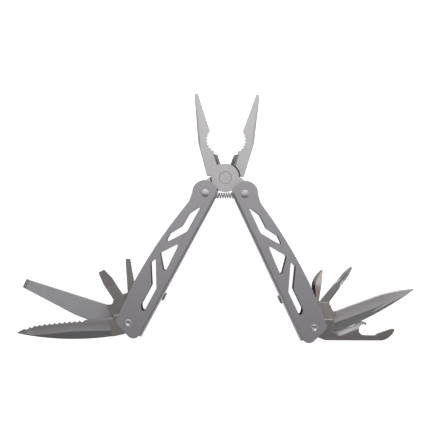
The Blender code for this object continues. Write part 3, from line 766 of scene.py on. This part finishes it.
def tube(name, path, radius, around):
    """A round wire along a path of (x, y, z) points, with flat ends."""
    points = [Vector(p) for p in path]
    sections = []
    normal = Vector((0, 0, 1))
    for i, point in enumerate(points):
        ahead = (points[min(i + 1, len(points) - 1)] - points[max(i - 1, 0)]).normalized()
        sideways = ahead.cross(normal).normalized()
        normal = sideways.cross(ahead).normalized()
        ring = []
        for k in range(around):
            angle = math.tau * k / around
            ring.append(point + (sideways * math.cos(angle) + normal * math.sin(angle)) * radius)
        sections.append(ring)
    return skin(name, sections)


def return_spring():
    """The coil between the levers. It is squeezed as the jaws close."""
    length = 2 * (SPRING_SEAT_GAP + SEAT_DEPTH - 0.3)
    steps = SPRING_TURNS * 28
    path = []
    for i in range(steps + 1):
        angle = math.tau * SPRING_TURNS * i / steps
        along = length * (i / steps - 0.5)
        path.append((along, SPRING_RADIUS * math.cos(angle), SPRING_RADIUS * math.sin(angle)))
    obj = tube("return_spring_fine", path, SPRING_WIRE, 12)
    place = Matrix.Translation((PIVOT.x * MM, (PIVOT.y - SPRING_DROP) * MM, MIDDLE * MM))
    obj.data.transform(place)
    obj.data.shade_smooth()
    obj.data.set_sharp_from_angle(angle=math.radians(50))
    stretched(obj, "return_spring")


# ---- handles


def spine(u):
    """How far the web's outer face lies from the line through both rivets."""
    return SPINE_AT_FOLD + u * math.tan(math.radians(SPINE_LEAN))


def handle_outline():
    crown = arc((-0.1, -0.6), CROWN_RADIUS, 86, 300, 44)
    neck = rounded([crown[-1] + (0,), (8.8, -5.9, 4), (13.4, -6.45, 0)], 4)
    back = bow((13.4, -6.45), (66.0, -9.5), -1.2, 24)
    foot = [(66.0, -9.5, 0), (93.3, -7.0, 3.5), (98.0, 9.4, 4.2), (WEB_END, 9.4, 0)]
    foot = rounded(foot + [(WEB_END, spine(WEB_END), 0), (WEB_START, spine(WEB_START), 0)], 6)
    return joined(crown, neck[1:], back, foot)


def windows():
    return [
        rounded([(9.2, 1.0, 0.5), (15.2, -1.9, 1.5), (24.2, -1.8, 1.5), (31.4, -5.7, 1.5),
                 (37.6, -5.5, 0.6), (25.0, 2.35, 1.5), (9.2, 1.8, 0.3)]),
        rounded([(33.6, 1.9, 0.6), (44.4, -4.9, 1.2), (54.0, 3.55, 1.0)]),
        rounded([(48.3, -5.6, 0.5), (52.4, -6.8, 0.8), (63.6, 0.6, 1.5), (76.8, 1.1, 2.0), (81.0, 4.65, 1.0),
                 (63.5, 3.95, 1.5)]),
    ]


def channel_section(inset, start):
    """Half of a rounded box, as (v, height) from the web's face: the sheet's outside or its inside."""
    low = CHANNEL_LOW + inset
    high = CHANNEL_HIGH - inset
    corner = BEND_RADIUS - inset
    return rounded([(start, low, 0), (-inset, low, corner), (-inset, high, corner), (start, high, 0)], 9)


def channel(name):
    """The folded sheet of one handle: two pierced plates and the web that joins them."""
    side = SIDES[name]
    outlines = [mirrored(outline, side) for outline in [handle_outline()] + windows()]
    obj = plate("channel", outlines, CHANNEL_LOW, CHANNEL_HIGH)
    for inset, start, ends, operation in (
        (0, -30, (-20, 110), "INTERSECT"),
        (SHEET, -40, (-25, 115), "DIFFERENCE"),
    ):
        bar = beam("bar", flipped(channel_section(inset, start), side), *ends)
        face = SPINE_AT_FOLD - (WEB_RELIEF if inset == 0 else 0)
        combine(obj, moved(bar, (0, side * face, 0), side * SPINE_LEAN), operation)
    slot_start = BUTTON_START + STEM_INSET - LOCK_TRAVEL - 0.2
    slot_end = BUTTON_START + BUTTON_LENGTH - STEM_INSET + 0.2
    top = [(-12, 3.0), (WEB_START, 3.0), (WEB_START, 12), (-12, 12)]
    slot = [(slot_start, 7), (slot_end, 7), (slot_end, 13), (slot_start, 13)]
    for outline, low, high in (
        (top, INSIDE_LOW, INSIDE_HIGH),
        (slot, MIDDLE - STEM_WIDTH / 2 - 0.2, MIDDLE + STEM_WIDTH / 2 + 0.2),
    ):
        combine(obj, plate("cut", [mirrored(outline, side)], low, high))
    for u, radius in ((0, FOLD_SHAFT), (handle_length(name), TOOL_SHAFT)):
        drilled(obj, radius, 0, CHANNEL_HIGH, (u, 0, 0))
    # walls of the windows, holes and plates' edges take the dark painted shade, and the faces inside the
    # channel a lighter painted shade
    for polygon in obj.data.polygons:
        centre = polygon.center / MM
        cut = abs(polygon.normal.z) < 0.2 and side * centre.y < spine(centre.x) - SHEET - 0.3
        level = INSIDE_LOW - 0.01 < centre.z < INSIDE_HIGH + 0.01
        within = level and side * centre.y < spine(centre.x) - SHEET / 2
        polygon.material_index = 2 if cut else 3 if within else 0
    edged(obj, BROKEN_EDGE, surface=1, angle=BROKEN_ANGLE)
    # the broken edge overshoots where the web's end meets a plate, and is held to the web's face there
    for vertex in obj.data.vertices:
        face = spine(vertex.co.x / MM) - WEB_RELIEF
        if side * vertex.co.y / MM > face + 0.01:
            vertex.co.y = side * face * MM
    place, body, node = handle_frame(name), name + "_handle", name + "_channel"
    materials = [HANDLE, HANDLE_EDGE, HANDLE_WALL_SHADE, HANDLE_INSIDE_SHADE]
    finish_piece(obj, node, place, body, materials, flat=0.99)


def dome(radius, top, base, steps):
    """The upper half of a rivet head's profile, from its middle out and down to its rim."""
    height = top - base
    sphere = (radius**2 + height**2) / (2 * height)
    points = []
    for i in range(steps + 1):
        r = radius * i / steps
        points.append((r, top - sphere + math.sqrt(sphere**2 - r**2)))
    return points


def handle_rivet(name, kind, head, shaft, place, steel):
    """A rivet through a handle, from its front head's profile down to its rear head's flat face."""
    high, low = CHANNEL_HIGH + HEAD_SEAT, CHANNEL_LOW - HEAD_SEAT
    rim = head[-1][0]
    profile = head + [(rim, high), (shaft, high), (shaft, low), (rim, low)]
    profile += [(rim, 0.2), (rim - 0.06, 0.06), (rim - 0.2, 0), (0, 0)]
    obj = turned("rivet", profile)
    finish_piece(obj, name + kind, place, name + "_handle", [steel], sharp=40)


def fold_rivet(name):
    top = CHANNEL_HIGH + HEAD_HEIGHT
    head = dome(FOLD_HEAD, top, CHANNEL_HIGH + 0.1, 12)
    handle_rivet(name, "_fold_rivet", head, FOLD_SHAFT, handle_frame(name), RIVET)


def tool_rivet(name):
    """A spun rivet: a raised bright ring around a dished middle."""
    top = CHANNEL_HIGH + HEAD_HEIGHT
    dish = [(0, 0.42), (0.3, 0.41), (0.5, 0.36), (0.6, 0.24), (0.67, 0.08)]
    ring = [(0.75, 0), (0.84, 0.02), (0.93, 0.12), (1, 0.3)]
    head = [(TOOL_HEAD * share, top - drop) for share, drop in dish + ring]
    place = standing(joint_point(TOOL_JOINTS[name]), handle_turn(name))
    handle_rivet(name, "_tool_rivet", head, TOOL_SHAFT, place, TOOL_RIVET)


def lock_button(name):
    """The ribbed thumb piece outside the web, with the stem that passes through it."""
    side = SIDES[name]
    start, end = BUTTON_START, BUTTON_START + BUTTON_LENGTH
    ribs = 5
    crest = [(start, 0.12), (start, 0.7), (start + 0.15, 1.05), (start + 0.5, BUTTON_PROUD)]
    pitch = (BUTTON_LENGTH - 1.0) / ribs
    for i in range(ribs):
        left = start + 0.5 + pitch * i
        crest += [(left + 0.45 * pitch, BUTTON_PROUD), (left + 0.58 * pitch, BUTTON_PROUD - 0.32)]
        crest += [(left + 0.87 * pitch, BUTTON_PROUD - 0.32), (left + pitch, BUTTON_PROUD)]
    crest += [(end - 0.15, 1.05), (end, 0.7), (end, 0.12)]
    half = BUTTON_WIDTH / 2
    obj = plate("button", [mirrored(joined(crest), side)], MIDDLE - half, MIDDLE + half)
    first, last = start + STEM_INSET, end - STEM_INSET
    stem_ends = [(first, 0.3), (first, -2.6), (last, -2.6), (last, 0.3)]
    half = STEM_WIDTH / 2
    combine(obj, plate("stem", [mirrored(stem_ends, side)], MIDDLE - half, MIDDLE + half), "UNION")
    edged(obj, 0.08)
    node = name + "_lock_button"
    finish_piece(obj, node, lock_frame(name), name + "_lock", [BUTTON])


def leaf_spring(name):
    """The leaf that pushes the lock back: one end is held to the web and the bowed end follows the bar."""
    side = SIDES[name]
    back = -SHEET - 0.12
    held, bowed, end, sheet = 44.0, 49.5, 55.7, 0.3
    leaf = [(held, back)]
    for u in spaced(bowed, end, 0.5):
        leaf.append((u, back - 0.45 * (1 - math.cos(math.pi * (u - bowed) / (end - bowed)))))
    leaf += [(u, v - sheet) for u, v in reversed(leaf)]
    obj = plate(name + "_lock_spring_fine", [mirrored(leaf, side)], MIDDLE - 2, MIDDLE + 2)
    edged(obj, 0.05)
    place = lock_frame(name)
    obj.data.transform(place)
    stretched(obj, name + "_lock_spring")


def handle(name):
    channel(name)
    fold_rivet(name)
    tool_rivet(name)
    lock_button(name)
    leaf_spring(name)


# ---- implements


def layer_heights(layer):
    """The low and high faces of an implement, counted from the front layer back."""
    high = INSIDE_HIGH - LAYER_GAP - layer * (TOOL_THICK + LAYER_GAP)
    return high - TOOL_THICK, high


def middle_of(layer):
    low, high = layer_heights(layer)
    return (low + high) / 2


def tang_outline(web_side, open_side):
    """An implement's root: a round back with the lock's flat, then its open side and its web side."""
    flat = math.degrees(math.asin(LOCK_FLAT / TANG_RADIUS))
    back = arc((0, 0), TANG_RADIUS, 309, 180 - flat, 32)
    return joined(back, [(0.5, LOCK_FLAT)], open_side, web_side)


def blade_skin(stations, lines, side, middle, surfaces):
    """A blade through its stations. lines(x) gives (s, half thickness) from its cutting edge to its back."""
    sections = []
    for x in stations:
        half = lines(x)
        loop = half + [(s, -z) for s, z in reversed(half)]
        sections.append([(x, side * s, middle + z) for s, z in loop])
    strips = surfaces + [surfaces[-1]] + list(reversed(surfaces)) + [surfaces[0]]
    return skin("ground", sections, strips)


def ground_lines(edge, ground, back, bevel, hollow, steps=5, full=0.97):
    """A blade's section at one station: edge, ground bevel, hollow, flat and its broken back corner."""
    width = back - edge
    full = min(full, full * (width / 4.5) ** 0.8)
    ground = min(ground, back - 0.12 * width)
    bevel = min(bevel, 0.3 * (ground - edge))
    keen = 0.28 * full
    points = [(edge, 0.035), (edge + bevel, keen)]
    start = edge + bevel
    for i in range(1, steps):
        t = i / steps
        half = keen + (full - keen) * t - hollow * full * 4 * t * (1 - t)
        points.append((start + (ground - start) * t, half))
    broken = min(0.14, 0.25 * (back - ground))
    return points + [(ground, full), (back - broken, full), (back, full - broken)]


def spaced(start, end, step):
    count = max(1, round((end - start) / step))
    return [start + (end - start) * i / count for i in range(count + 1)]


def implement(node, handle_name, layer, root, blade, materials, cuts=(), sharp=20):
    """An implement's root plate with its blade joined on, in the place of its CAD node.

    Up to three materials are its own, the third on the root of a piece with a blade, and its broken
    edges take the last surface, a bright steel that paints a highlight along them.
    """
    side = SIDES[handle_name]
    low, high = layer_heights(layer)
    obj = plate(node, [mirrored(root, side)], low, high, surface=2 if blade else 0)
    edged(obj, ROOT_EDGE, surface=3, angle=60)
    if blade:
        combine(obj, blade, "UNION")
    drilled(obj, TOOL_SHAFT, low, high)
    for cutter in cuts:
        combine(obj, cutter)
    place = tool_frame(node, handle_name)
    materials = (materials + materials[-1:] * 3)[:3] + [TOOL_EDGE_HIGHLIGHT]
    finish_piece(obj, node, place, node, materials, sharp, flat=0.9999)


def tip_cuts(layer, start, end, tip_thick):
    """Cutters that slope both faces of a flat implement down to its tip."""
    middle = middle_of(layer)
    cuts = []
    for sign in (1, -1):
        face = middle + sign * TOOL_THICK / 2
        tip = middle + sign * tip_thick / 2
        clear = face + sign
        slope = [(-start, face), (-end, tip), (-end - 5, tip), (-end - 5, clear), (-start, clear)]
        # the slopes take the implement's second surface, which on the flat drivers is painted shade
        cuts.append(moved(beam("tip", slope, -15, 15, surface=1), turn=90))
    return cuts


def serrated_blade(layer=0):
    side = SIDES["left"]
    teeth, pitch, first, tip = 12, 3.0, 26.0, 67.0

    def edge(x):
        straight = blend(x, 11, 54, -3.9, -4.0) - hump(x, 26, 54, 0.25)
        return straight + blend(x, 54, tip, 0, 3.85) - hump(x, 54, tip, 0.6)

    def scallop(x):
        if not first < x < first + teeth * pitch:
            return 0.0
        return 1.0 * math.sin(math.pi * ((x - first) / pitch % 1)) ** 0.8

    def lines(x):
        ground = blend(x, 10, 33, 3.9, 2.05) + hump(x, 33, 60, 0.12)
        back = blend(x, 3.6, tip, 6.8, 0.02) + hump(x, 3.6, tip, 3.1)
        points = ground_lines(edge(x), ground, back, 1.4, 0.07)
        sharp_edge = points[0][0] + min(scallop(x), 0.75 * (points[1][0] - points[0][0]))
        return [(sharp_edge, points[0][1])] + points[1:]

    stations = spaced(9.5, first, 1.5) + spaced(first, first + teeth * pitch, 0.25)[1:]
    stations += spaced(62.5, tip, 0.5)[:-1] + [tip - 0.1, tip]
    blade = blade_skin(stations, lines, side, middle_of(layer), [0, 0, 0, 0, 0, 0, 1, 1])
    web_side = [(11.2, -3.2), (9.2, -3.2), (8.4, -5.1), (6.1, -5.0)]
    root = tang_outline(web_side, [(3.6, 6.8), (9.0, 7.35), (10.6, 7.4)])
    materials = [SERRATED, SERRATED_FLAT, TANG_RED]
    implement("serrated_blade", "left", layer, root, blade, materials, sharp=7)


def nail_nick(side, top):
    """The cutter of the crescent groove that a nail opens the knife by."""
    start, end, depth = 36.5, 49.5, 0.3
    sections = []
    for i in range(1, 24):
        t = i / 24
        x = start + (end - start) * t
        wide = 1.9 * math.sin(math.pi * t) ** 0.7
        low = 4.6 - 0.15 * (x - start)
        deep = depth * math.sin(math.pi * t) ** 0.5
        lip = min(0.9, 0.5 * wide)
        high = low - wide
        loop = [(high, 0.3), (high, -0.005), (high + 0.4 * lip, -0.03), (high + lip, -deep)]
        loop += [(low - wide * 0.4, -deep * 0.9), (low, 0.0), (low, 0.3)]
        sections.append([(x, side * s, top + z) for s, z in loop])
    # the thin strip at the upper lip takes the bright painted highlight
    return skin("nick", sections, [0, 3, 1, 1, 1, 0, 0])


def knife_blade(layer=3):
    side = SIDES["right"]
    tip = 65.7

    def lines(x):
        edge = -4.0 + blend(x, 38, tip, 0, 4.05) - hump(x, 38, tip, 1.2)
        back = blend(x, 10, tip, 8.2, 0.1) + hump(x, 10, tip, 1.9)
        return ground_lines(edge, 2.7, back, 0.75, 0.05 * blend(x, 50, tip, 1, 0))

    stations = spaced(10, 50, 2.0) + spaced(50, tip, 0.6)[1:-1] + [tip - 0.12, tip]
    # the cutting bevel takes the bright painted highlight
    blade = blade_skin(stations, lines, side, middle_of(layer), [3, 0, 0, 0, 0, 0, 1, 1])
    web_side = [(12.4, -4.1), (10.2, -4.4), (8.6, -5.0), (5.6, -5.0)]
    root = tang_outline(web_side, [(4.0, 6.9), (12.0, 7.7)])
    nick = nail_nick(side, layer_heights(layer)[1])
    materials = [BLADE, BLADE_FLAT, TANG]
    implement("knife_blade", "right", layer, root, blade, materials, [nick], sharp=7)


def awl(layer=2):
    side = SIDES["right"]
    tip = 34.4

    def lines(x):
        edge = blend(x, 13, 24, -2.2, -5.0) + blend(x, 24, tip, 0, 4.3) - hump(x, 24, tip, 1.3)
        back = blend(x, 26, tip, 0.75, 0.25)
        full = 0.97 * min(1.0, (tip - x + 1.4) / 11)
        width = back - edge
        ground = edge + min(2.1, 0.45 * width)
        broken = min(0.1, 0.2 * width)
        keen = min(0.06, 0.5 * full)
        points = [(edge, keen), (edge + 0.5 * (ground - edge), 0.5 * (keen + full)), (ground, full)]
        return points + [(back - broken, full), (back, full - 0.5 * min(broken, full))]

    stations = spaced(12, 26, 1.0) + spaced(26, tip, 0.5)[1:]
    # the awl's ground bevel takes the dark painted shade
    blade = blade_skin(stations, lines, side, middle_of(layer), [1, 1, 0, 0])
    root = tang_outline(
        [(15.5, -2.6), (13.0, -3.0), (10.0, -4.8), (6.0, -5.0)],
        [(7.5, 6.9), (13.5, 7.0), (14.8, 6.2), (14.6, 2.0), (16.2, 0.36)],
    )
    materials = [TANG_WARM, SLOPE_SHADE, TANG_WARM]
    implement("awl", "right", layer, root, blade, materials, sharp=9)


def phillips_driver(layer=1):
    """A flat-stock cross-point driver: its shank's corners sink into four flutes towards the tip."""
    side = SIDES["right"]
    middle = middle_of(layer)
    tip = 42.2
    widths = ((12, 2.2, 0), (18, 2.3, 0), (25, 2.15, 0), (28, 2.08, 0), (30.5, 2.02, 0.8),
              (33, 1.95, 1), (37.5, 1.75, 1), (40.5, 1.2, 1), (tip, 0.6, 1))
    sections = []
    for x, half_width, fluted in widths:
        centre = -0.45 - 0.093 * (tip - x)
        half = blend(x, 38, tip, TOOL_THICK / 2 - 0.04, 0.4)
        corner = blend(fluted, 0, 1, 0.8, 0.24)
        depth = blend(fluted, 0, 1, 0.8, 0.24) * half
        inner = blend(fluted, 0, 1, half_width - 0.2, 0.3)
        loop = []
        for across, up in ((1, 1), (-1, 1), (-1, -1), (1, -1)):
            quarter = [(half_width, depth), (inner, corner * half), (inner * corner, half)]
            if across * up < 0:
                quarter.reverse()
            loop += [(across * a, up * b) for a, b in quarter]
        sections.append([(x, side * (centre + a), middle + b) for a, b in loop])
    root = tang_outline(
        [(14.5, -5.0), (10.0, -5.0), (6.0, -5.0)],
        [(8.0, 7.2), (13.8, 7.3), (15.6, 6.3), (14.3, 4.7), (15.0, 3.0), (16.2, 1.8), (16.4, 0.6),
         (18.0, -0.4), (16.3, -1.8)],
    )
    # each corner's two facets, and later each flute's two walls, are one in dark painted shade and one in
    # bright painted highlight
    shank = skin("shank", sections, [3, 1, 0, 1, 3, 0] * 2)
    materials = [TOOL_BRIGHT, SLOPE_SHADE, TANG_WARM]
    implement("phillips_driver", "right", layer, root, shank, materials, sharp=25)


def medium_driver(layer=1):
    shank = rounded([(12.6, 7.3, 0), (15.8, 7.4, 0.6), (14.2, 3.6, 1.2), (16.2, 1.7, 1.0), (27.0, 2.6, 6),
                     (34.7, 1.9, 0.3), (34.7, -1.9, 0.3), (28.0, -3.8, 4), (16.3, -4.7, 0)])
    root = tang_outline([(9.5, -5.0), (6.0, -5.0)], [(7.7, 7.0)] + shank)
    cuts = tip_cuts(layer, 24, 34.7, DRIVER_TIP)
    implement("medium_flat_driver", "left", layer, root, None, [TOOL, SLOPE_SHADE], cuts=cuts)


def small_driver(layer=2):
    shank = rounded([(12.6, 6.9, 0), (15.2, 6.9, 0.6), (16.8, 3.3, 1.2), (17.4, 0.6, 0.8), (37.7, 1.4, 0.2),
                     (37.7, -1.4, 0.2), (23.7, -3.4, 6), (15.0, -4.2, 0)])
    root = tang_outline([(9.5, -4.9), (6.0, -5.0)], [(7.7, 6.8)] + shank)
    cuts = tip_cuts(layer, 28, 37.7, DRIVER_TIP)
    implement("small_flat_driver", "left", layer, root, None, [TOOL, SLOPE_SHADE], cuts=cuts)


def file_teeth(layer, side):
    """The crossed cuts of the file, on both of its faces, as one closed slab that stands a little proud."""
    start, end, step = 17.4, 64.6, 0.2
    across = 56
    pitch, rise = 0.8, 0.12
    middle = middle_of(layer)

    def sides(x):
        low = blend(x, 16.5, 67.3, -4.8, -2.8) + 0.2
        high = blend(x, 32.4, 67.8, 7.6, 2.7) - 0.2 - hump(x, 18.0, 46.0, 0.45)
        return low, high

    def height(x, s):
        cuts = (math.radians(40), math.radians(-58))
        phases = (x * math.cos(angle) + s * math.sin(angle) for angle in cuts)
        main_cut, cross_cut = (abs((phase / pitch) % 1 - 0.5) * 2 for phase in phases)
        near = min(x - start, end - x)
        return rise * (0.7 * main_cut + 0.3 * cross_cut) * blend(near, 0, 0.8, 0, 1)

    sections = []
    for x in spaced(start, end, step):
        low, high = sides(x)
        front = []
        for k in range(across + 1):
            s = low + (high - low) * k / across
            lift = 0 if k in (0, across) else height(x, s)
            front.append((s, TOOL_THICK / 2 - 0.03 + lift))
        loop = front + [(s, -z) for s, z in reversed(front)]
        sections.append([(x, side * s, middle + z) for s, z in loop])
    return skin("teeth", sections, [0] * (2 * across + 2))


def file_blade(layer=3):
    side = SIDES["left"]
    shape = [(7.0, 6.6, 0), (18.0, 7.9, 6), (32.4, 7.6, 8), (67.8, 2.7, 0.5), (67.3, -2.8, 0.5),
             (16.5, -4.8, 0)]
    root = tang_outline([(9.5, -5.0), (6.0, -5.0)], rounded(shape))
    cuts = tip_cuts(layer, 65.6, 67.8, 0.9)
    implement("file", "left", layer, root, None, [FILE, FILE_END, FILE], cuts)
    teeth = file_teeth(layer, side)
    surfaced(teeth.data, FILE)
    teeth.name = "file_teeth"
    teeth.data.shade_flat()
    teeth.matrix_world = tool_frame("file", "left")
    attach(teeth, "file")


def opener(layer=0):
    """Bottle and can opener: a hook, a round notch behind it, and a long claw below."""
    neck = rounded([(26.6, -3.7, 0), (23.4, -1.5, 3), (11.0, 3.2, 1.0), (12.0, -4.8, 0.8), (6.0, -4.8, 0)])
    notch = arc((29.7, 0.9), 3.1, 90, 285, 28)
    hook = rounded([(31.2, -2.4, 0), (31.0, -3.2, 0.3), (29.0, -4.1, 0.8), (26.6, -3.7, 1.0),
                    (23.4, -1.5, 0)])
    claw = rounded([(6.7, 7.6, 0), (42.4, 7.1, 8.0), (47.3, 2.6, 6.0), (47.9, -0.1, 0.2), (45.6, 0.0, 0.5),
                    (37.8, 2.8, 1.0), (36.0, 4.0, 0.6), (29.7, 4.0, 0)])
    root = tang_outline(neck[1:], claw + notch + hook[:-1])
    side = SIDES["right"]
    # the sharpened edge of the can opener is hollowed by a wheel that runs along the neck's slope
    top = layer_heights(layer)[1]
    radius, depth = 4.4, 1.2
    slope = heading(Vector((11.0, 3.2)), Vector((26.4, -3.4)))
    nose = arc((0, -3.4), radius, 0, -90, 12)
    wheel = turned("wheel", [(0, 12), (radius, 12)] + nose[:-1] + [(0, nose[-1][1])], 96, [1] * 14)
    wheel.data.transform(spin(90, "Y"))
    moved(wheel, (18.4, side * 0.5, top + radius - depth), side * slope)
    implement("opener", "right", layer, root, None, [TOOL, SCOOP], cuts=[wheel])


# ---- hidden pieces


def carried_over():
    """The CAD nodes that stay as they are get their steel and broken edges."""
    for node, obj in frame["nodes"].items():
        if obj.hide_render:
            continue
        material = WASHER if "spacer" in node or "bush" in node else BUTTON
        surfaced(obj.data, material)
        edge = obj.modifiers.new("edge", "BEVEL")
        edge.limit_method = "ANGLE"
        edge.angle_limit = math.radians(40)
        edge.width = 0.05 * MM
        edge.segments = 1


# ---- studio


def studio():
    floor_mesh = bpy.data.meshes.new("floor")
    floor_mesh.from_pydata([(-3, -3, 0), (3, -3, 0), (3, 3, 0), (-3, 3, 0)], [], [(0, 1, 2, 3)])
    floor = linked("floor", floor_mesh)
    material = bpy.data.materials.new("floor_white")
    material.use_nodes = True
    shader = material.node_tree.nodes["Principled BSDF"]
    shader.inputs["Base Color"].default_value = (0.6, 0.6, 0.6, 1)
    shader.inputs["Roughness"].default_value = 0.9
    shader.inputs["Specular IOR Level"].default_value = 0.0
    shader.inputs["Emission Color"].default_value = (1, 1, 1, 1)
    shader.inputs["Emission Strength"].default_value = 0.93
    surfaced(floor_mesh, material)

    world = bpy.data.worlds.new("studio")
    bpy.context.scene.world = world
    world.use_nodes = True
    background = world.node_tree.nodes["Background"]
    background.inputs["Color"].default_value = (1, 1, 1, 1)
    background.inputs["Strength"].default_value = 0.17

    for name, place, size, power in (
        ("key", (0.0, 0.42, 0.46), (0.9, 0.3), 1.75),
        ("overhead", (0.0, 0.12, 0.66), (0.7, 0.26), 0.86),
        ("left_fill", (-0.8, 0.0, 0.55), (0.4, 0.8), 0.5),
        ("right_fill", (0.8, 0.0, 0.55), (0.4, 0.8), 1.15),
        ("front_fill", (0.0, -0.75, 0.3), (1.0, 0.4), 1.1),
    ):
        light = bpy.data.lights.new(name, "AREA")
        light.shape = "RECTANGLE"
        light.size, light.size_y = size
        light.energy = power
        lamp = linked(name, light)
        lamp.location = place
        lamp.rotation_euler = (-Vector(place)).to_track_quat("-Z", "Y").to_euler()


def camera():
    """Straight down on the open tool."""
    distance, frame_width, sensor, lowered = 0.52, 0.2616, 36, 0.00036
    data = bpy.data.cameras.new("camera")
    data.sensor_width = sensor
    data.lens = sensor * distance / frame_width
    data.clip_start, data.clip_end = 0.01, 20
    eye = linked("camera", data)
    eye.location = (0, -lowered, MIDDLE * MM + distance)
    bpy.context.scene.camera = eye
    bpy.context.scene.view_settings.view_transform = "Standard"


def main():
    jaw("jaw_front", -1, "front_jaw")
    jaw("jaw_rear", 1, "rear_jaw")
    pivot_rivet()
    return_spring()
    for name in ("left", "right"):
        handle(name)
    serrated_blade()
    medium_driver()
    small_driver()
    file_blade()
    opener()
    phillips_driver()
    awl()
    knife_blade()
    carried_over()
    studio()
    camera()


main()
